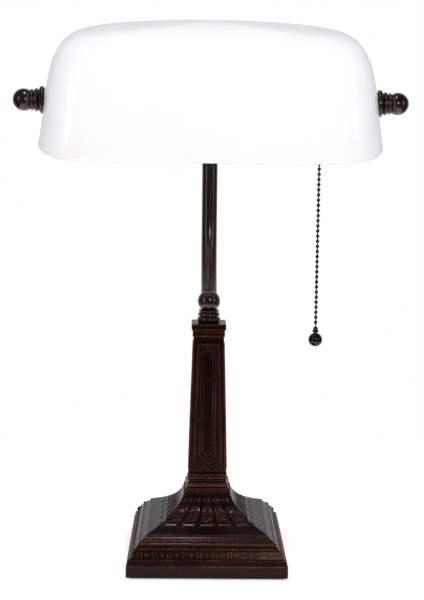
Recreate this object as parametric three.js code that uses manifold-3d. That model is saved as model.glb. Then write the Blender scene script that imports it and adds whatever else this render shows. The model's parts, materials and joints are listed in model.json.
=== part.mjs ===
// Banker desk lamp: square cast base and column, bent arm, tilting opal glass shade, pull-chain socket.
// Millimetres, +Z up, +X to the lamp's right, the front faces -Y.
// The origin is the middle of the felt pad's underside, where the lamp stands.
import * as THREE from "three";
import { mergeVertices } from "three/addons/utils/BufferGeometryUtils.js";
import Module from "manifold-3d";

const wasm = await Module();
wasm.setup();

// ---- Clearances --------------------------------------------------------------------------------
const faceGap = 0.3; // between two faces that meet
const boreGap = 0.3; // between a pin and its hole, on the radius
const through = 1; // how far a cutting tool runs past the face it cuts

// ---- Base --------------------------------------------------------------------------------------
const feltThickness = 1.2;
const feltInset = 2; // the pad stops this far inside the base's edge
const baseHalfWidth = 52;
const plinthHeight = 7.9;
const coveHeight = 3.5;
const coveInset = 1;
const beadBandInset = 2.4;
const beadBandHeight = 5.5;
const beadBandTaper = 2.6;
const lowerRidgeInset = 5.6;
const lowerRidgeHeight = 0.7;
const upperRidgeInset = 7.5;
const upperRidgeHeight = 2.8;
const tierInset = 12.3;
const tierHeight = 4;
const pedestalHalfWidth = 14.8; // the base's top, under the column
const pedestalHeight = 23.8;
const flareExponent = 2.5;
const baseWall = 4.5;
const baseRoof = 1.5; // cast metal between the tier's edge and the hollow

// ---- Hardware through the base and column ------------------------------------------------------
const pipeRadius = 4.9; // 1/8 in lamp pipe
const pipeBore = 3.4;
const weightHalfWidth = 32;
const weightThickness = 8;
const lockWasherThickness = 1.2;
const lockWasherRadius = 8.5;
const nutThickness = 5;
const nutFlats = 14;
const rodTail = 1.3; // rod below its nut
const bushingRadius = 3.6;
const bushingBore = 2.4;
const bushingFlangeRadius = 5;
const bushingFlange = 1.4;
const bushingHeight = 7; // centre of the lead's hole above the table
const bushingLength = 6.5;

// ---- Column ------------------------------------------------------------------------------------
const footMouldingHeight = 9.4;
const footMouldingHalfWidth = 13.8;
const shaftHeight = 90.3;
const shaftFootHalfWidth = 12.75;
const shaftHeadHalfWidth = 10.1;
const frameWidth = 1.5; // raised border on each face
const frameRelief = 0.45;
const frameSideInset = 3.1;
const frameEndInset = 3.2;
const neckHeight = 2;
const capitalLowerHalfWidth = 10.7;
const capitalLowerHeight = 3.5;
const capitalGroove = 0.5;
const capitalUpperHalfWidth = 11.4;
const capitalUpperHeight = 4.2;
const columnWall = 3.4;

// ---- Collar, ball and arm ----------------------------------------------------------------------
const collarRadius = 7.75;
const collarStep = 0.45; // each ring of the collar is this much smaller than the one below
const collarHeight = 9.2;
const collarNeckRadius = 5.5;
const collarSocketDepth = 5.6; // how far the rod enters the collar
const spigotRadius = 3.6;
const ballRadius = 7.4;
const ballFlat = 4.6; // ball's centre above its flat underside
const wirewayRadius = 2.4;
const tubeRadius = 5.25;
const tubeWall = 1.1;
const armLean = THREE.MathUtils.degToRad(55); // from upright, where the arm leaves the ball
const armStraight = 3; // straight tube beyond the ball before the bend
const armReach = 33; // the upright part stands this far behind the column
const armSteps = 20;
const nipplePlay = 0.35; // between a nipple and the tube round it
const armNippleInBall = 4;
const armNippleInTube = 5.5;

// ---- Shade bracket -----------------------------------------------------------------------------
const knobAxisHeight = 304.3;
const bracketGap = 0.8; // between the socket's cap and the strap above it
const strapThickness = 2;
const strapHalfWidth = 7;
const strapBend = 3;
const tabRadius = 8;
const lugGap = 11.5; // from the ear's inner face to the socket's lug
const topNippleBore = 2.6;
const topNippleInTube = 9;
const topNipplePast = 4.6;
const topNutThickness = 3.2;
const topNutFlats = 11;

// ---- Glass shade -------------------------------------------------------------------------------
const shadeHalfLength = 111.5;
const shadeHalfDepth = 62;
const shadeHeight = 77;
const shadeWall = 4;
const pivotAboveRim = 25.5;
const restTilt = THREE.MathUtils.degToRad(14); // front edge down
const planExponentLong = 8;
const planExponentDeep = 2.5;
const depthExponent = 2.2;
const shadeRings = 10;
const shadeSides = 36;
// Ridge line seen from the front: share of the half-length against share of the height.
const shadeEndLine = new THREE.SplineCurve(
  [[1, 0], [0.971, 0.25], [0.943, 0.5], [0.903, 0.71], [0.83, 0.855], [0.7, 0.925], [0.4, 0.97], [0, 1]]
    .map(([across, up]) => new THREE.Vector2(across, up)));
const seatRadius = 8.4; // flat seat round each hole in the glass
const seatRelief = 0.8;
const seatThickness = 4.2;
const glassHoleRadius = 4.6;

// ---- Knobs and studs ---------------------------------------------------------------------------
const studRadius = 3;
const shoulderRadius = 5;
const shoulderLength = 5.1;
const studTail = 0.6;
const studNutThickness = 3.2;
const studNutFlats = 11;
const innerWasherThickness = 0.8;
const outerWasherThickness = 0.6;
const washerRadius = 7.6;
const knobFlangeRadius = 8.8;
const knobFlangeThickness = 3.1;
const knobNeckRadius = 6.4;
const knobRingRadius = 7.3;
const knobBallOffset = 10.1; // ball's centre beyond the flange
const knobBallRadius = 7.2;
const knobBoreDepth = 12;

// ---- Socket ------------------------------------------------------------------------------------
const capRadius = 17.2;
const capWall = 0.9;
const capLength = 14;
const capHubRadius = 8.5;
const capHubThickness = 3.2;
const socketNippleInCap = 4.8;
const socketNipplePast = 3.6;
const socketNutThickness = 3;
const socketNutFlats = 13;
const socketShellLength = 52;
const socketShellWall = 0.8;
const shellInCap = 1.2;
const sleeveWall = 0.6;
const sleeveInset = 1.5;
const screwShellPlay = 0.5; // between the screw shell and its card sleeve
const screwShellWall = 0.5;
const screwShellLength = 24;
const socketBodyPlay = 1.3; // between the body and the card sleeve
const socketBodyLength = 12;
const contactRadius = 3;
const contactThickness = 1.3;
const terminalRadius = 1.9;
const terminalLength = 2.4;
const terminalSpread = 7;
const terminalRise = 5;

// ---- Pull-chain switch -------------------------------------------------------------------------
const chainFromCapEnd = 9.1;
const leverArm = 12; // pivot to chain
const leverDrop = 9; // pivot below the socket's axis
const leverThickness = 1.5;
const leverHalfWidth = 2.6;
const leverHubRadius = 2.5;
const leverPast = 2; // fork beyond the chain
const slotHalfWidth = 1.5;
const slotLength = 5;
const pinRadius = 1;
const cheekInner = 3.1;
const cheekThickness = 2.2;
const cheekRadius = 3.2;
const pinPast = 2.8;
const springWire = 0.35;
const springRadius = 1.85;
const springTurns = 3;
const springPitch = 0.8;
const topBeadRadius = 2.1;
const topBeadGap = 0.5;
const stemRadius = 0.7;
const guideRadius = 3.4;
const guideMouthRadius = 5;
const guideBore = 1.9;
const guideLength = 6.5;
const guideInCap = 1.2; // low enough for the lever's fork at the end of its stroke

// ---- Bead chain --------------------------------------------------------------------------------
const beadRadius = 1.2;
const beadPitch = 3.39;
const beadNeckRadius = 0.45;
const chainBeads = 34;
const chainTail = 0.8; // bare link below the last bead
const bellRadius = 2.1;
const bellLength = 4;
const endBallRadius = 4.6;

// ---- Bulb --------------------------------------------------------------------------------------
const bulbRadius = 14.5;
const bulbNeckRadius = 12.4;
const bulbWall = 0.8;
const bulbNeckLength = 5;
const bulbTaperLength = 9;
const bulbGlassLength = 78;
const bulbCapLength = 20;
const bulbCapPlay = 0.3; // between the bulb's cap and the screw shell
const bulbContactRadius = 4.2;
const bulbContactLength = 1.8;

// ---- Lamp lead ---------------------------------------------------------------------------------
const leadRadius = 1.2;
const leadStepsPerPoint = 2;
const leadSides = 6;

// ---- Worked-out places -------------------------------------------------------------------------
const plinthTop = feltThickness + plinthHeight;
const coveTop = plinthTop + coveHeight;
const beadBandTop = coveTop + beadBandHeight;
const lowerRidgeTop = beadBandTop + lowerRidgeHeight;
const upperRidgeTop = lowerRidgeTop + upperRidgeHeight;
const tierTop = upperRidgeTop + tierHeight;
const pedestalTop = tierTop + pedestalHeight;
const hollowTop = tierTop - baseRoof;
const weightBottom = hollowTop - weightThickness;
const nutTop = weightBottom - lockWasherThickness;
const nutBottom = nutTop - nutThickness;
const rodBottom = nutBottom - rodTail;
const shaftBottom = pedestalTop + footMouldingHeight;
const shaftTop = shaftBottom + shaftHeight;
const capitalBottom = shaftTop + neckHeight;
const capitalLowerTop = capitalBottom + capitalLowerHeight;
const capitalUpperBottom = capitalLowerTop + capitalGroove;
const columnTop = capitalUpperBottom + capitalUpperHeight;
const rodTop = columnTop + collarSocketDepth - faceGap;
const collarTop = columnTop + collarHeight;
const ballCentre = collarTop + faceGap + ballFlat;
const armNippleRadius = tubeRadius - tubeWall - nipplePlay;
const topNippleRadius = armNippleRadius;
const strapBottom = knobAxisHeight + capRadius + bracketGap;
const strapTop = strapBottom + strapThickness;
const armTop = strapBottom - faceGap;

const seatOuterX = shadeHalfLength * shareOfLength(pivotAboveRim / shadeHeight);
const seatInnerX = seatOuterX - seatThickness;
const innerWasherX = seatInnerX - faceGap - innerWasherThickness;
const shoulderX = innerWasherX - faceGap - shoulderLength;
const earOuterX = shoulderX - faceGap;
const earInnerX = earOuterX - strapThickness;
const studNutX = earInnerX - faceGap - studNutThickness;
const studInnerX = studNutX - studTail;
const outerWasherX = seatOuterX + faceGap;
const knobX = outerWasherX + outerWasherThickness + faceGap;
const lugOuterX = earInnerX - lugGap;
const lugInnerX = lugOuterX - strapThickness;
const capEndX = lugInnerX - faceGap;
const capMouthX = capEndX - capLength;
const shellOuterRadius = capRadius - capWall - boreGap;
const shellEndX = capMouthX + shellInCap;
const shellMouthX = shellEndX - socketShellLength;
const sleeveOuterRadius = shellOuterRadius - socketShellWall - boreGap;
const sleeveInnerRadius = sleeveOuterRadius - sleeveWall;
const screwShellRadius = sleeveInnerRadius - screwShellPlay;
const socketBodyRadius = sleeveInnerRadius - socketBodyPlay;
const bulbCapRadius = screwShellRadius - screwShellWall - bulbCapPlay;
const chainX = capEndX - chainFromCapEnd;
const pivotX = chainX - leverArm;
const pivotZ = knobAxisHeight - leverDrop;
const socketBodyEndX = pivotX - cheekRadius;
const socketBodyX = socketBodyEndX - socketBodyLength;
const contactX = socketBodyX - faceGap - contactThickness;
const screwShellEndX = socketBodyX - faceGap;
const screwShellX = screwShellEndX - screwShellLength;
const bulbCapEndX = contactX - faceGap - bulbContactLength;
const bulbCapX = bulbCapEndX - bulbCapLength;
const topBeadZ = pivotZ + leverThickness / 2 + topBeadGap + topBeadRadius;
const guideTop = knobAxisHeight - capRadius + guideInCap;
const guideBottom = guideTop - guideLength;
const swingZ = guideBottom - beadPitch;
const linkZ = swingZ - beadPitch;
const chainTop = linkZ - beadPitch / 2;
const chainBottom = chainTop - chainBeads * beadPitch - chainTail;
const endBallZ = chainBottom - bellLength - endBallRadius - 2 * faceGap;

// ---- Finishes ----------------------------------------------------------------------------------
const finish = (color, roughness, metalness) =>
  new THREE.MeshStandardMaterial({ color, roughness, metalness });
const castBronze = finish(0x32241e, 0.42, 0.8);
const smoothBronze = finish(0x2e211b, 0.22, 0.85);
const gunmetal = finish(0x26282b, 0.2, 0.9);
const opalGlass = finish(0xf3f1f3, 0.12, 0);
const frostedGlass = finish(0xf5f4ef, 0.35, 0);
const brass = finish(0xb08d4a, 0.35, 0.9);
const steel = finish(0x9a9c9e, 0.4, 0.9);
const castIron = finish(0x3f4042, 0.7, 0.7);
const darkFelt = finish(0x22241f, 0.95, 0);
const fibre = finish(0x2b2522, 0.8, 0);
const phenolic = finish(0x1f1d1c, 0.5, 0);
const whiteCard = finish(0xd9d2c0, 0.85, 0);
const blackPlastic = finish(0x161616, 0.45, 0);
const aluminium = finish(0xc4c6c8, 0.35, 0.9);

// ---- Solids ------------------------------------------------------------------------------------

// The share of the half-length that the glass still has at a share of its height.
function shareOfLength(height) {
  let low = 0;
  let high = 1;
  for (let i = 0; i < 40; i++) {
    const middle = (low + high) / 2;
    if (shadeEndLine.getPoint(middle).y < height) low = middle;
    else high = middle;
  }
  return shadeEndLine.getPoint(low).x;
}

// A geometry as a solid that can be cut and joined.
function solid(geometry) {
  const bare = geometry.clone();
  bare.deleteAttribute("normal");
  bare.deleteAttribute("uv");
  const merged = mergeVertices(bare, 1e-4);
  const corners = merged.index.array;
  const kept = [];
  for (let i = 0; i < corners.length; i += 3) {
    const [a, b, c] = [corners[i], corners[i + 1], corners[i + 2]];
    if (a !== b && b !== c && c !== a) kept.push(a, b, c);
  }
  return new wasm.Manifold(new wasm.Mesh({
    numProp: 3,
    vertProperties: new Float32Array(merged.attributes.position.array),
    triVerts: new Uint32Array(kept),
  }));
}

// The solid back as a geometry for a mesh.
function surface(shape) {
  const { vertProperties, triVerts } = shape.getMesh();
  const geometry = new THREE.BufferGeometry();
  geometry.setAttribute("position", new THREE.BufferAttribute(vertProperties, 3));
  geometry.setIndex(new THREE.BufferAttribute(triVerts, 1));
  geometry.computeVertexNormals();
  return geometry;
}

const joined = (first, ...others) => others.reduce((all, next) => all.add(solid(next)), solid(first));
const cut = (shape, ...tools) => tools.reduce((left, tool) => left.subtract(solid(tool)), shape);
const points = (pairs) => pairs.map(([x, y]) => new THREE.Vector2(x, y));

// A turned piece round +Z: [radius, height] pairs, outer side going up.
const turned = (pairs, sides = 16) =>
  new THREE.LatheGeometry(points(pairs), sides).rotateX(Math.PI / 2);

// A turned piece round +X: [radius, x] pairs, outer side going towards +X.
const turnedX = (pairs, sides = 16) => turned(pairs, sides).rotateY(Math.PI / 2);

// A square piece round +Z: [half-width, height] pairs.
const square = (pairs) =>
  new THREE.LatheGeometry(points(pairs.map(([half, z]) => [half * Math.SQRT2, z])), 4, Math.PI / 4)
    .rotateX(Math.PI / 2);

const rod = (radius, bottom, top, sides = 16) =>
  turned([[0, bottom], [radius, bottom], [radius, top], [0, top]], sides);
const rodX = (radius, from, to, sides = 16) =>
  turnedX([[0, from], [radius, from], [radius, to], [0, to]], sides);
const ring = (outer, inner, bottom, top, sides = 16) =>
  turned([[inner, bottom], [outer, bottom], [outer, top], [inner, top], [inner, bottom]], sides);
const ringX = (outer, inner, from, to, sides = 16) =>
  ring(outer, inner, from, to, sides).rotateY(Math.PI / 2);
const block = (width, depth, height, x, y, z) =>
  new THREE.BoxGeometry(width, depth, height).translate(x, y, z);

// A hexagonal nut round +Z.
const nut = (flats, bore, bottom, top) =>
  cut(solid(rod(flats / Math.sqrt(3), bottom, top, 6)), rod(bore, bottom - through, top + through));

// A ball, drawn in turns of latitude.
function ball(radius, z, sides = 16, rings = 10) {
  const arc = new THREE.EllipseCurve(0, z, radius, radius, -Math.PI / 2, Math.PI / 2);
  return turned(arc.getPoints(rings).map(({ x, y }) => [Math.max(x, 0), y]), sides);
}

// A round section swept along a curve, with a bore when it is given one.
function tube(path, radius, bore, sides, steps) {
  const section = new THREE.Shape().absarc(0, 0, radius, 0, Math.PI * 2);
  if (bore) section.holes.push(new THREE.Path().absarc(0, 0, bore, 0, Math.PI * 2, true));
  return new THREE.ExtrudeGeometry(section,
    { steps, curveSegments: sides, bevelEnabled: false, extrudePath: path });
}

// ---- Assembly ----------------------------------------------------------------------------------
const lamp = new THREE.Group();

function place(name, shape, material, parent = lamp) {
  const mesh = new THREE.Mesh(surface(shape), material);
  mesh.name = name;
  parent.add(mesh);
  return mesh;
}

function buildBase() {
  const flare = [];
  const flareSteps = 8;
  for (let i = 1; i <= flareSteps; i++) {
    const up = i / flareSteps;
    const across = (1 - up) ** flareExponent;
    const edge = baseHalfWidth - tierInset;
    flare.push([pedestalHalfWidth + (edge - pedestalHalfWidth) * across, tierTop + pedestalHeight * up]);
  }
  const outside = square([
    [0, feltThickness],
    [baseHalfWidth, feltThickness],
    [baseHalfWidth, plinthTop],
    [baseHalfWidth - coveInset, coveTop],
    [baseHalfWidth - beadBandInset, coveTop],
    [baseHalfWidth - beadBandInset - beadBandTaper, beadBandTop],
    [baseHalfWidth - lowerRidgeInset, lowerRidgeTop],
    [baseHalfWidth - upperRidgeInset, upperRidgeTop],
    [baseHalfWidth - tierInset, tierTop],
    ...flare,
    [0, pedestalTop],
  ]);
  const hollow = square([
    [0, feltThickness - through],
    [baseHalfWidth - baseWall, feltThickness - through],
    [baseHalfWidth - baseWall, plinthTop],
    [baseHalfWidth - tierInset - baseWall, hollowTop],
    [0, hollowTop],
  ]);
  const rodHole = rod(pipeRadius + boreGap, hollowTop - through, pedestalTop + through);
  const leadHole = rod(bushingRadius + boreGap, baseHalfWidth - bushingLength - through, baseHalfWidth + through)
    .rotateX(-Math.PI / 2).translate(0, 0, bushingHeight);
  place("base_casting", cut(solid(outside), hollow, rodHole, leadHole), castBronze);

  const feltHalf = baseHalfWidth - feltInset;
  place("felt_pad", solid(block(2 * feltHalf, 2 * feltHalf, feltThickness, 0, 0, feltThickness / 2)), darkFelt);

  const weight = square([
    [0, weightBottom], [weightHalfWidth, weightBottom], [weightHalfWidth, hollowTop], [0, hollowTop]]);
  const weightHole = rod(pipeRadius + boreGap, weightBottom - through, hollowTop + through);
  place("base_weight", cut(solid(weight), weightHole), castIron);

  place("lock_washer", solid(ring(lockWasherRadius, pipeRadius + boreGap, nutTop, weightBottom)), steel);
  place("rod_nut", nut(nutFlats, pipeRadius + boreGap, nutBottom, nutTop), steel);

  const bushingInner = baseHalfWidth + faceGap - bushingLength;
  const bushing = turned([
    [bushingBore, bushingInner],
    [bushingRadius, bushingInner],
    [bushingRadius, baseHalfWidth + faceGap],
    [bushingFlangeRadius, baseHalfWidth + faceGap],
    [bushingFlangeRadius, baseHalfWidth + faceGap + bushingFlange],
    [bushingBore, baseHalfWidth + faceGap + bushingFlange],
    [bushingBore, bushingInner],
  ]).rotateX(-Math.PI / 2).translate(0, 0, bushingHeight);
  place("cord_bushing", solid(bushing), blackPlastic);
}

// The raised border on one face of the column, leaning with the taper.
function faceBorder() {
  const bottom = shaftBottom + frameEndInset;
  const top = shaftTop - frameEndInset;
  const lean = Math.atan((shaftFootHalfWidth - shaftHeadHalfWidth) / shaftHeight);
  const corners = (inset) => [
    [-(shaftFootHalfWidth - frameSideInset - inset), bottom + inset],
    [shaftFootHalfWidth - frameSideInset - inset, bottom + inset],
    [shaftHeadHalfWidth - frameSideInset - inset, top - inset],
    [-(shaftHeadHalfWidth - frameSideInset - inset), top - inset],
  ].map(([x, z]) => [x, z - shaftBottom]);
  const outline = new THREE.Shape(points(corners(0)));
  outline.holes.push(new THREE.Path(points(corners(frameWidth)).reverse()));
  return new THREE.ExtrudeGeometry(outline, { depth: 2 * frameRelief, bevelEnabled: false })
    .translate(0, 0, -frameRelief)
    .rotateX(Math.PI / 2)
    .rotateX(-lean)
    .translate(0, -shaftFootHalfWidth, shaftBottom);
}

function buildColumn() {
  const moulding = footMouldingHalfWidth;
  const outside = square([
    [0, pedestalTop],
    [moulding - 0.6, pedestalTop],
    [moulding, pedestalTop + 1],
    [moulding, pedestalTop + 2.6],
    [moulding - 1.2, pedestalTop + 3.6],
    [moulding - 1.2, pedestalTop + 5.4],
    [moulding - 0.6, pedestalTop + 6],
    [moulding - 0.6, pedestalTop + 7],
    [moulding - 1, pedestalTop + 7.4],
    [moulding - 0.7, pedestalTop + 8.3],
    [shaftFootHalfWidth, shaftBottom],
    [shaftHeadHalfWidth, shaftTop],
    [shaftHeadHalfWidth, capitalBottom],
    [capitalLowerHalfWidth, capitalBottom],
    [capitalLowerHalfWidth, capitalLowerTop],
    [capitalLowerHalfWidth - 0.6, capitalLowerTop],
    [capitalLowerHalfWidth - 0.6, capitalUpperBottom],
    [capitalUpperHalfWidth, capitalUpperBottom],
    [capitalUpperHalfWidth, columnTop],
    [0, columnTop],
  ]);
  const hollow = square([
    [0, pedestalTop - through],
    [shaftFootHalfWidth - columnWall, pedestalTop - through],
    [shaftFootHalfWidth - columnWall, shaftBottom],
    [shaftHeadHalfWidth - columnWall, shaftTop],
    [0, shaftTop],
  ]);
  let column = solid(outside);
  for (let face = 0; face < 4; face++)
    column = column.add(solid(faceBorder().rotateZ((face * Math.PI) / 2)));
  const rodHole = rod(pipeRadius + boreGap, shaftTop - through, columnTop + through);
  place("column_casting", cut(column, hollow, rodHole), castBronze);
  place("threaded_rod", solid(ring(pipeRadius, pipeBore, rodBottom, rodTop)), steel);
}

// The arm's centre line, from a distance along its lean out of the ball.
function armPath(start) {
  const out = new THREE.Vector3(0, Math.sin(armLean), Math.cos(armLean));
  const centre = new THREE.Vector3(0, 0, ballCentre);
  const from = centre.clone().addScaledVector(out, start);
  const bendStart = centre.clone().addScaledVector(out, ballRadius + armStraight);
  const radius = (armReach - bendStart.y) / (1 - Math.cos(armLean));
  const bendEnd = new THREE.Vector3(0, armReach, bendStart.z + radius * Math.sin(armLean));
  const bend = new THREE.Curve();
  bend.getPoint = (t) => {
    const left = armLean * (1 - t);
    return new THREE.Vector3(
      0, armReach - radius * (1 - Math.cos(left)), bendEnd.z - radius * Math.sin(left));
  };
  const path = new THREE.CurvePath();
  path.add(new THREE.LineCurve3(from, bendStart));
  path.add(bend);
  path.add(new THREE.LineCurve3(bendEnd, new THREE.Vector3(0, armReach, armTop)));
  return path;
}

// A cylinder pointing out of the ball along the arm.
const alongLean = (radius, from, to, sides = 20) =>
  rod(radius, from, to, sides).rotateX(-armLean).translate(0, 0, ballCentre);

function buildArm() {
  const second = collarRadius - collarStep;
  const third = second - collarStep;
  const step = collarHeight / 9;
  const collar = turned([
    [pipeRadius + boreGap, columnTop],
    [collarRadius - 0.5, columnTop],
    [collarRadius, columnTop + 0.5 * step],
    [collarRadius, columnTop + 3.2 * step],
    [collarRadius - 0.8, columnTop + 3.8 * step],
    [second - 0.5, columnTop + 4.3 * step],
    [second, columnTop + 4.8 * step],
    [second, columnTop + 6.1 * step],
    [third - 0.9, columnTop + 6.8 * step],
    [third, columnTop + 7.4 * step],
    [third, columnTop + 8.3 * step],
    [collarNeckRadius, collarTop],
    [spigotRadius + boreGap, collarTop],
    [spigotRadius + boreGap, columnTop + collarSocketDepth],
    [pipeRadius + boreGap, columnTop + collarSocketDepth],
    [pipeRadius + boreGap, columnTop],
  ]);
  place("collar", solid(collar), smoothBronze);

  const flat = collarTop + faceGap;
  const spigotBottom = rodTop + faceGap;
  const belowFlat = rod(2 * ballRadius, ballCentre - 2 * ballRadius, flat);
  const spigot = rod(spigotRadius, spigotBottom, ballCentre);
  const body = cut(solid(ball(ballRadius, ballCentre)), belowFlat).add(solid(spigot));
  const lowerWay = rod(wirewayRadius, spigotBottom - through, ballCentre, 16);
  const chamber = ball(wirewayRadius + 1.2, ballCentre, 16, 8);
  const nippleHole = alongLean(armNippleRadius + boreGap, armNippleInBall - faceGap, ballRadius + through);
  const upperWay = alongLean(wirewayRadius, 0, ballRadius, 16);
  place("arm_ball", cut(body, lowerWay, chamber, upperWay, nippleHole), smoothBronze);

  const nippleOut = ballRadius + armNippleInTube;
  const nipple = cut(solid(alongLean(armNippleRadius, armNippleInBall, nippleOut)),
    alongLean(wirewayRadius, armNippleInBall - through, nippleOut + through, 16));
  place("arm_nipple", nipple, steel);

  const arm = tube(armPath(ballRadius / 2), tubeRadius, tubeRadius - tubeWall, 8, armSteps);
  place("arm_tube", cut(solid(arm), ball(ballRadius + 2 * faceGap, ballCentre, 16, 12)), smoothBronze);

  const nippleBottom = armTop - topNippleInTube;
  const nippleTop = strapTop + topNipplePast;
  const topNipple = ring(topNippleRadius, topNippleBore, nippleBottom, nippleTop);
  place("arm_top_nipple", solid(topNipple.translate(0, armReach, 0)), steel);
  const topNut = nut(topNutFlats, topNippleRadius + boreGap, strapTop + faceGap, strapTop + faceGap + topNutThickness);
  place("arm_top_nut", topNut.translate([0, armReach, 0]), brass);
}

function buildBracket() {
  const outer = earOuterX;
  const low = knobAxisHeight - strapHalfWidth;
  const half = (x, bottom, top, bend) => {
    const line = new THREE.Path();
    line.moveTo(-x, bottom);
    line.lineTo(x, bottom);
    line.lineTo(x, top - bend);
    line.absarc(x - bend, top - bend, bend, 0, Math.PI / 2);
    line.lineTo(-(x - bend), top);
    line.absarc(-(x - bend), top - bend, bend, Math.PI / 2, Math.PI);
    return line.getPoints(4);
  };
  const upright = (outline, depth) =>
    new THREE.ExtrudeGeometry(new THREE.Shape(outline), { depth, bevelEnabled: false })
      .rotateX(Math.PI / 2);
  const width = 2 * strapHalfWidth;
  const strapBlock = upright(half(outer, low, strapTop, strapBend), width).translate(0, strapHalfWidth, 0);
  const inside = upright(half(earInnerX, low - through, strapBottom, strapBend - strapThickness / 2),
    width + 2 * through).translate(0, strapHalfWidth + through, 0);
  const lugHeight = strapTop - low;
  const lug = block(strapThickness, width, lugHeight, lugInnerX + strapThickness / 2, 0, low + lugHeight / 2);

  const rounded = new THREE.Shape();
  rounded.absarc(0, knobAxisHeight, strapHalfWidth, Math.PI, 2 * Math.PI);
  rounded.lineTo(strapHalfWidth, strapTop + through);
  rounded.lineTo(-strapHalfWidth, strapTop + through);
  const earForm = new THREE.ExtrudeGeometry(rounded,
    { depth: 2 * (outer + through), bevelEnabled: false, curveSegments: 10 })
    .rotateX(Math.PI / 2).rotateZ(Math.PI / 2).translate(-outer - through, 0, 0);

  const tabOutline = new THREE.Shape();
  tabOutline.moveTo(-tabRadius, 0);
  tabOutline.lineTo(tabRadius, 0);
  tabOutline.absarc(0, armReach, tabRadius, 0, Math.PI);
  const tab = new THREE.ExtrudeGeometry(tabOutline,
    { depth: strapThickness, bevelEnabled: false, curveSegments: 12 }).translate(0, 0, strapBottom);

  const studHole = rodX(studRadius + boreGap, -outer - through, outer + through)
    .translate(0, 0, knobAxisHeight);
  const lugHole = rodX(pipeRadius + boreGap, lugInnerX - through, lugOuterX + through)
    .translate(0, 0, knobAxisHeight);
  const tabHole = rod(topNippleRadius + boreGap, strapBottom - through, strapTop + through)
    .translate(0, armReach, 0);
  const strap = cut(solid(strapBlock), inside).add(solid(lug)).intersect(solid(earForm)).add(solid(tab));
  place("shade_bracket", cut(strap, studHole, lugHole, tabHole), smoothBronze);
}

// One closed ring of the glass: half-length, half-depth and height above the rim.
function glassRing(along, inset) {
  const { x, y } = shadeEndLine.getPoint(along);
  return {
    halfLength: (shadeHalfLength - inset) * Math.max(x, 0),
    halfDepth: (shadeHalfDepth - inset) * Math.max(1 - y ** depthExponent, 0) ** (1 / depthExponent),
    height: (shadeHeight - inset) * y,
  };
}

function glassRings() {
  const lip = shadeWall / 2;
  const rings = [];
  const steps = shadeRings - 1;
  const eased = (i) => Math.sin((i / steps) * (Math.PI / 2)) ** 0.75;
  for (let i = steps; i >= 1; i--) rings.push(glassRing(eased(i), shadeWall));
  for (const turn of [0, 0.5, 1]) {
    const inset = lip + lip * Math.cos(turn * Math.PI);
    const height = lip - lip * Math.sin(turn * Math.PI);
    rings.push({ halfLength: shadeHalfLength - inset, halfDepth: shadeHalfDepth - inset, height });
  }
  for (let i = 1; i <= steps; i++) rings.push(glassRing(eased(i), 0));
  return rings;
}

function buildShade() {
  const rings = glassRings();
  const last = rings.length - 1;
  const profile = rings.map((_, i) => [i === 0 || i === last ? 0 : 1, i]);
  const glass = turned(profile, shadeSides);
  const spots = glass.attributes.position;
  const zeroed = (value) => (Math.abs(value) < 1e-6 ? 0 : value); // so that the seam's two edges meet
  const power = (value, exponent) => Math.sign(value) * Math.abs(zeroed(value)) ** (2 / exponent);
  for (let i = 0; i < spots.count; i++) {
    const { halfLength, halfDepth, height } = rings[Math.round(spots.getZ(i))];
    spots.setXYZ(i,
      halfLength * power(spots.getX(i), planExponentLong),
      halfDepth * power(spots.getY(i), planExponentDeep),
      height - pivotAboveRim);
  }
  let shell = solid(glass);
  for (const side of [1, -1]) {
    const turn = side > 0 ? 0 : Math.PI;
    const seat = rodX(seatRadius, seatInnerX, seatOuterX).rotateZ(turn);
    const relief = rodX(seatRadius + seatRelief, seatOuterX, seatOuterX + 2 * shadeWall).rotateZ(turn);
    const innerRelief = rodX(seatRadius + seatRelief, seatInnerX - 2 * shadeWall, seatInnerX).rotateZ(turn);
    const hole = rodX(glassHoleRadius, seatInnerX - through, seatOuterX + through).rotateZ(turn);
    shell = cut(shell.add(solid(seat)), relief, innerRelief, hole);
  }
  const tilted = new THREE.Group();
  tilted.position.z = knobAxisHeight;
  tilted.rotation.x = restTilt;
  lamp.add(tilted);
  place("glass_shade", shell, opalGlass, tilted);
}

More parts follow.
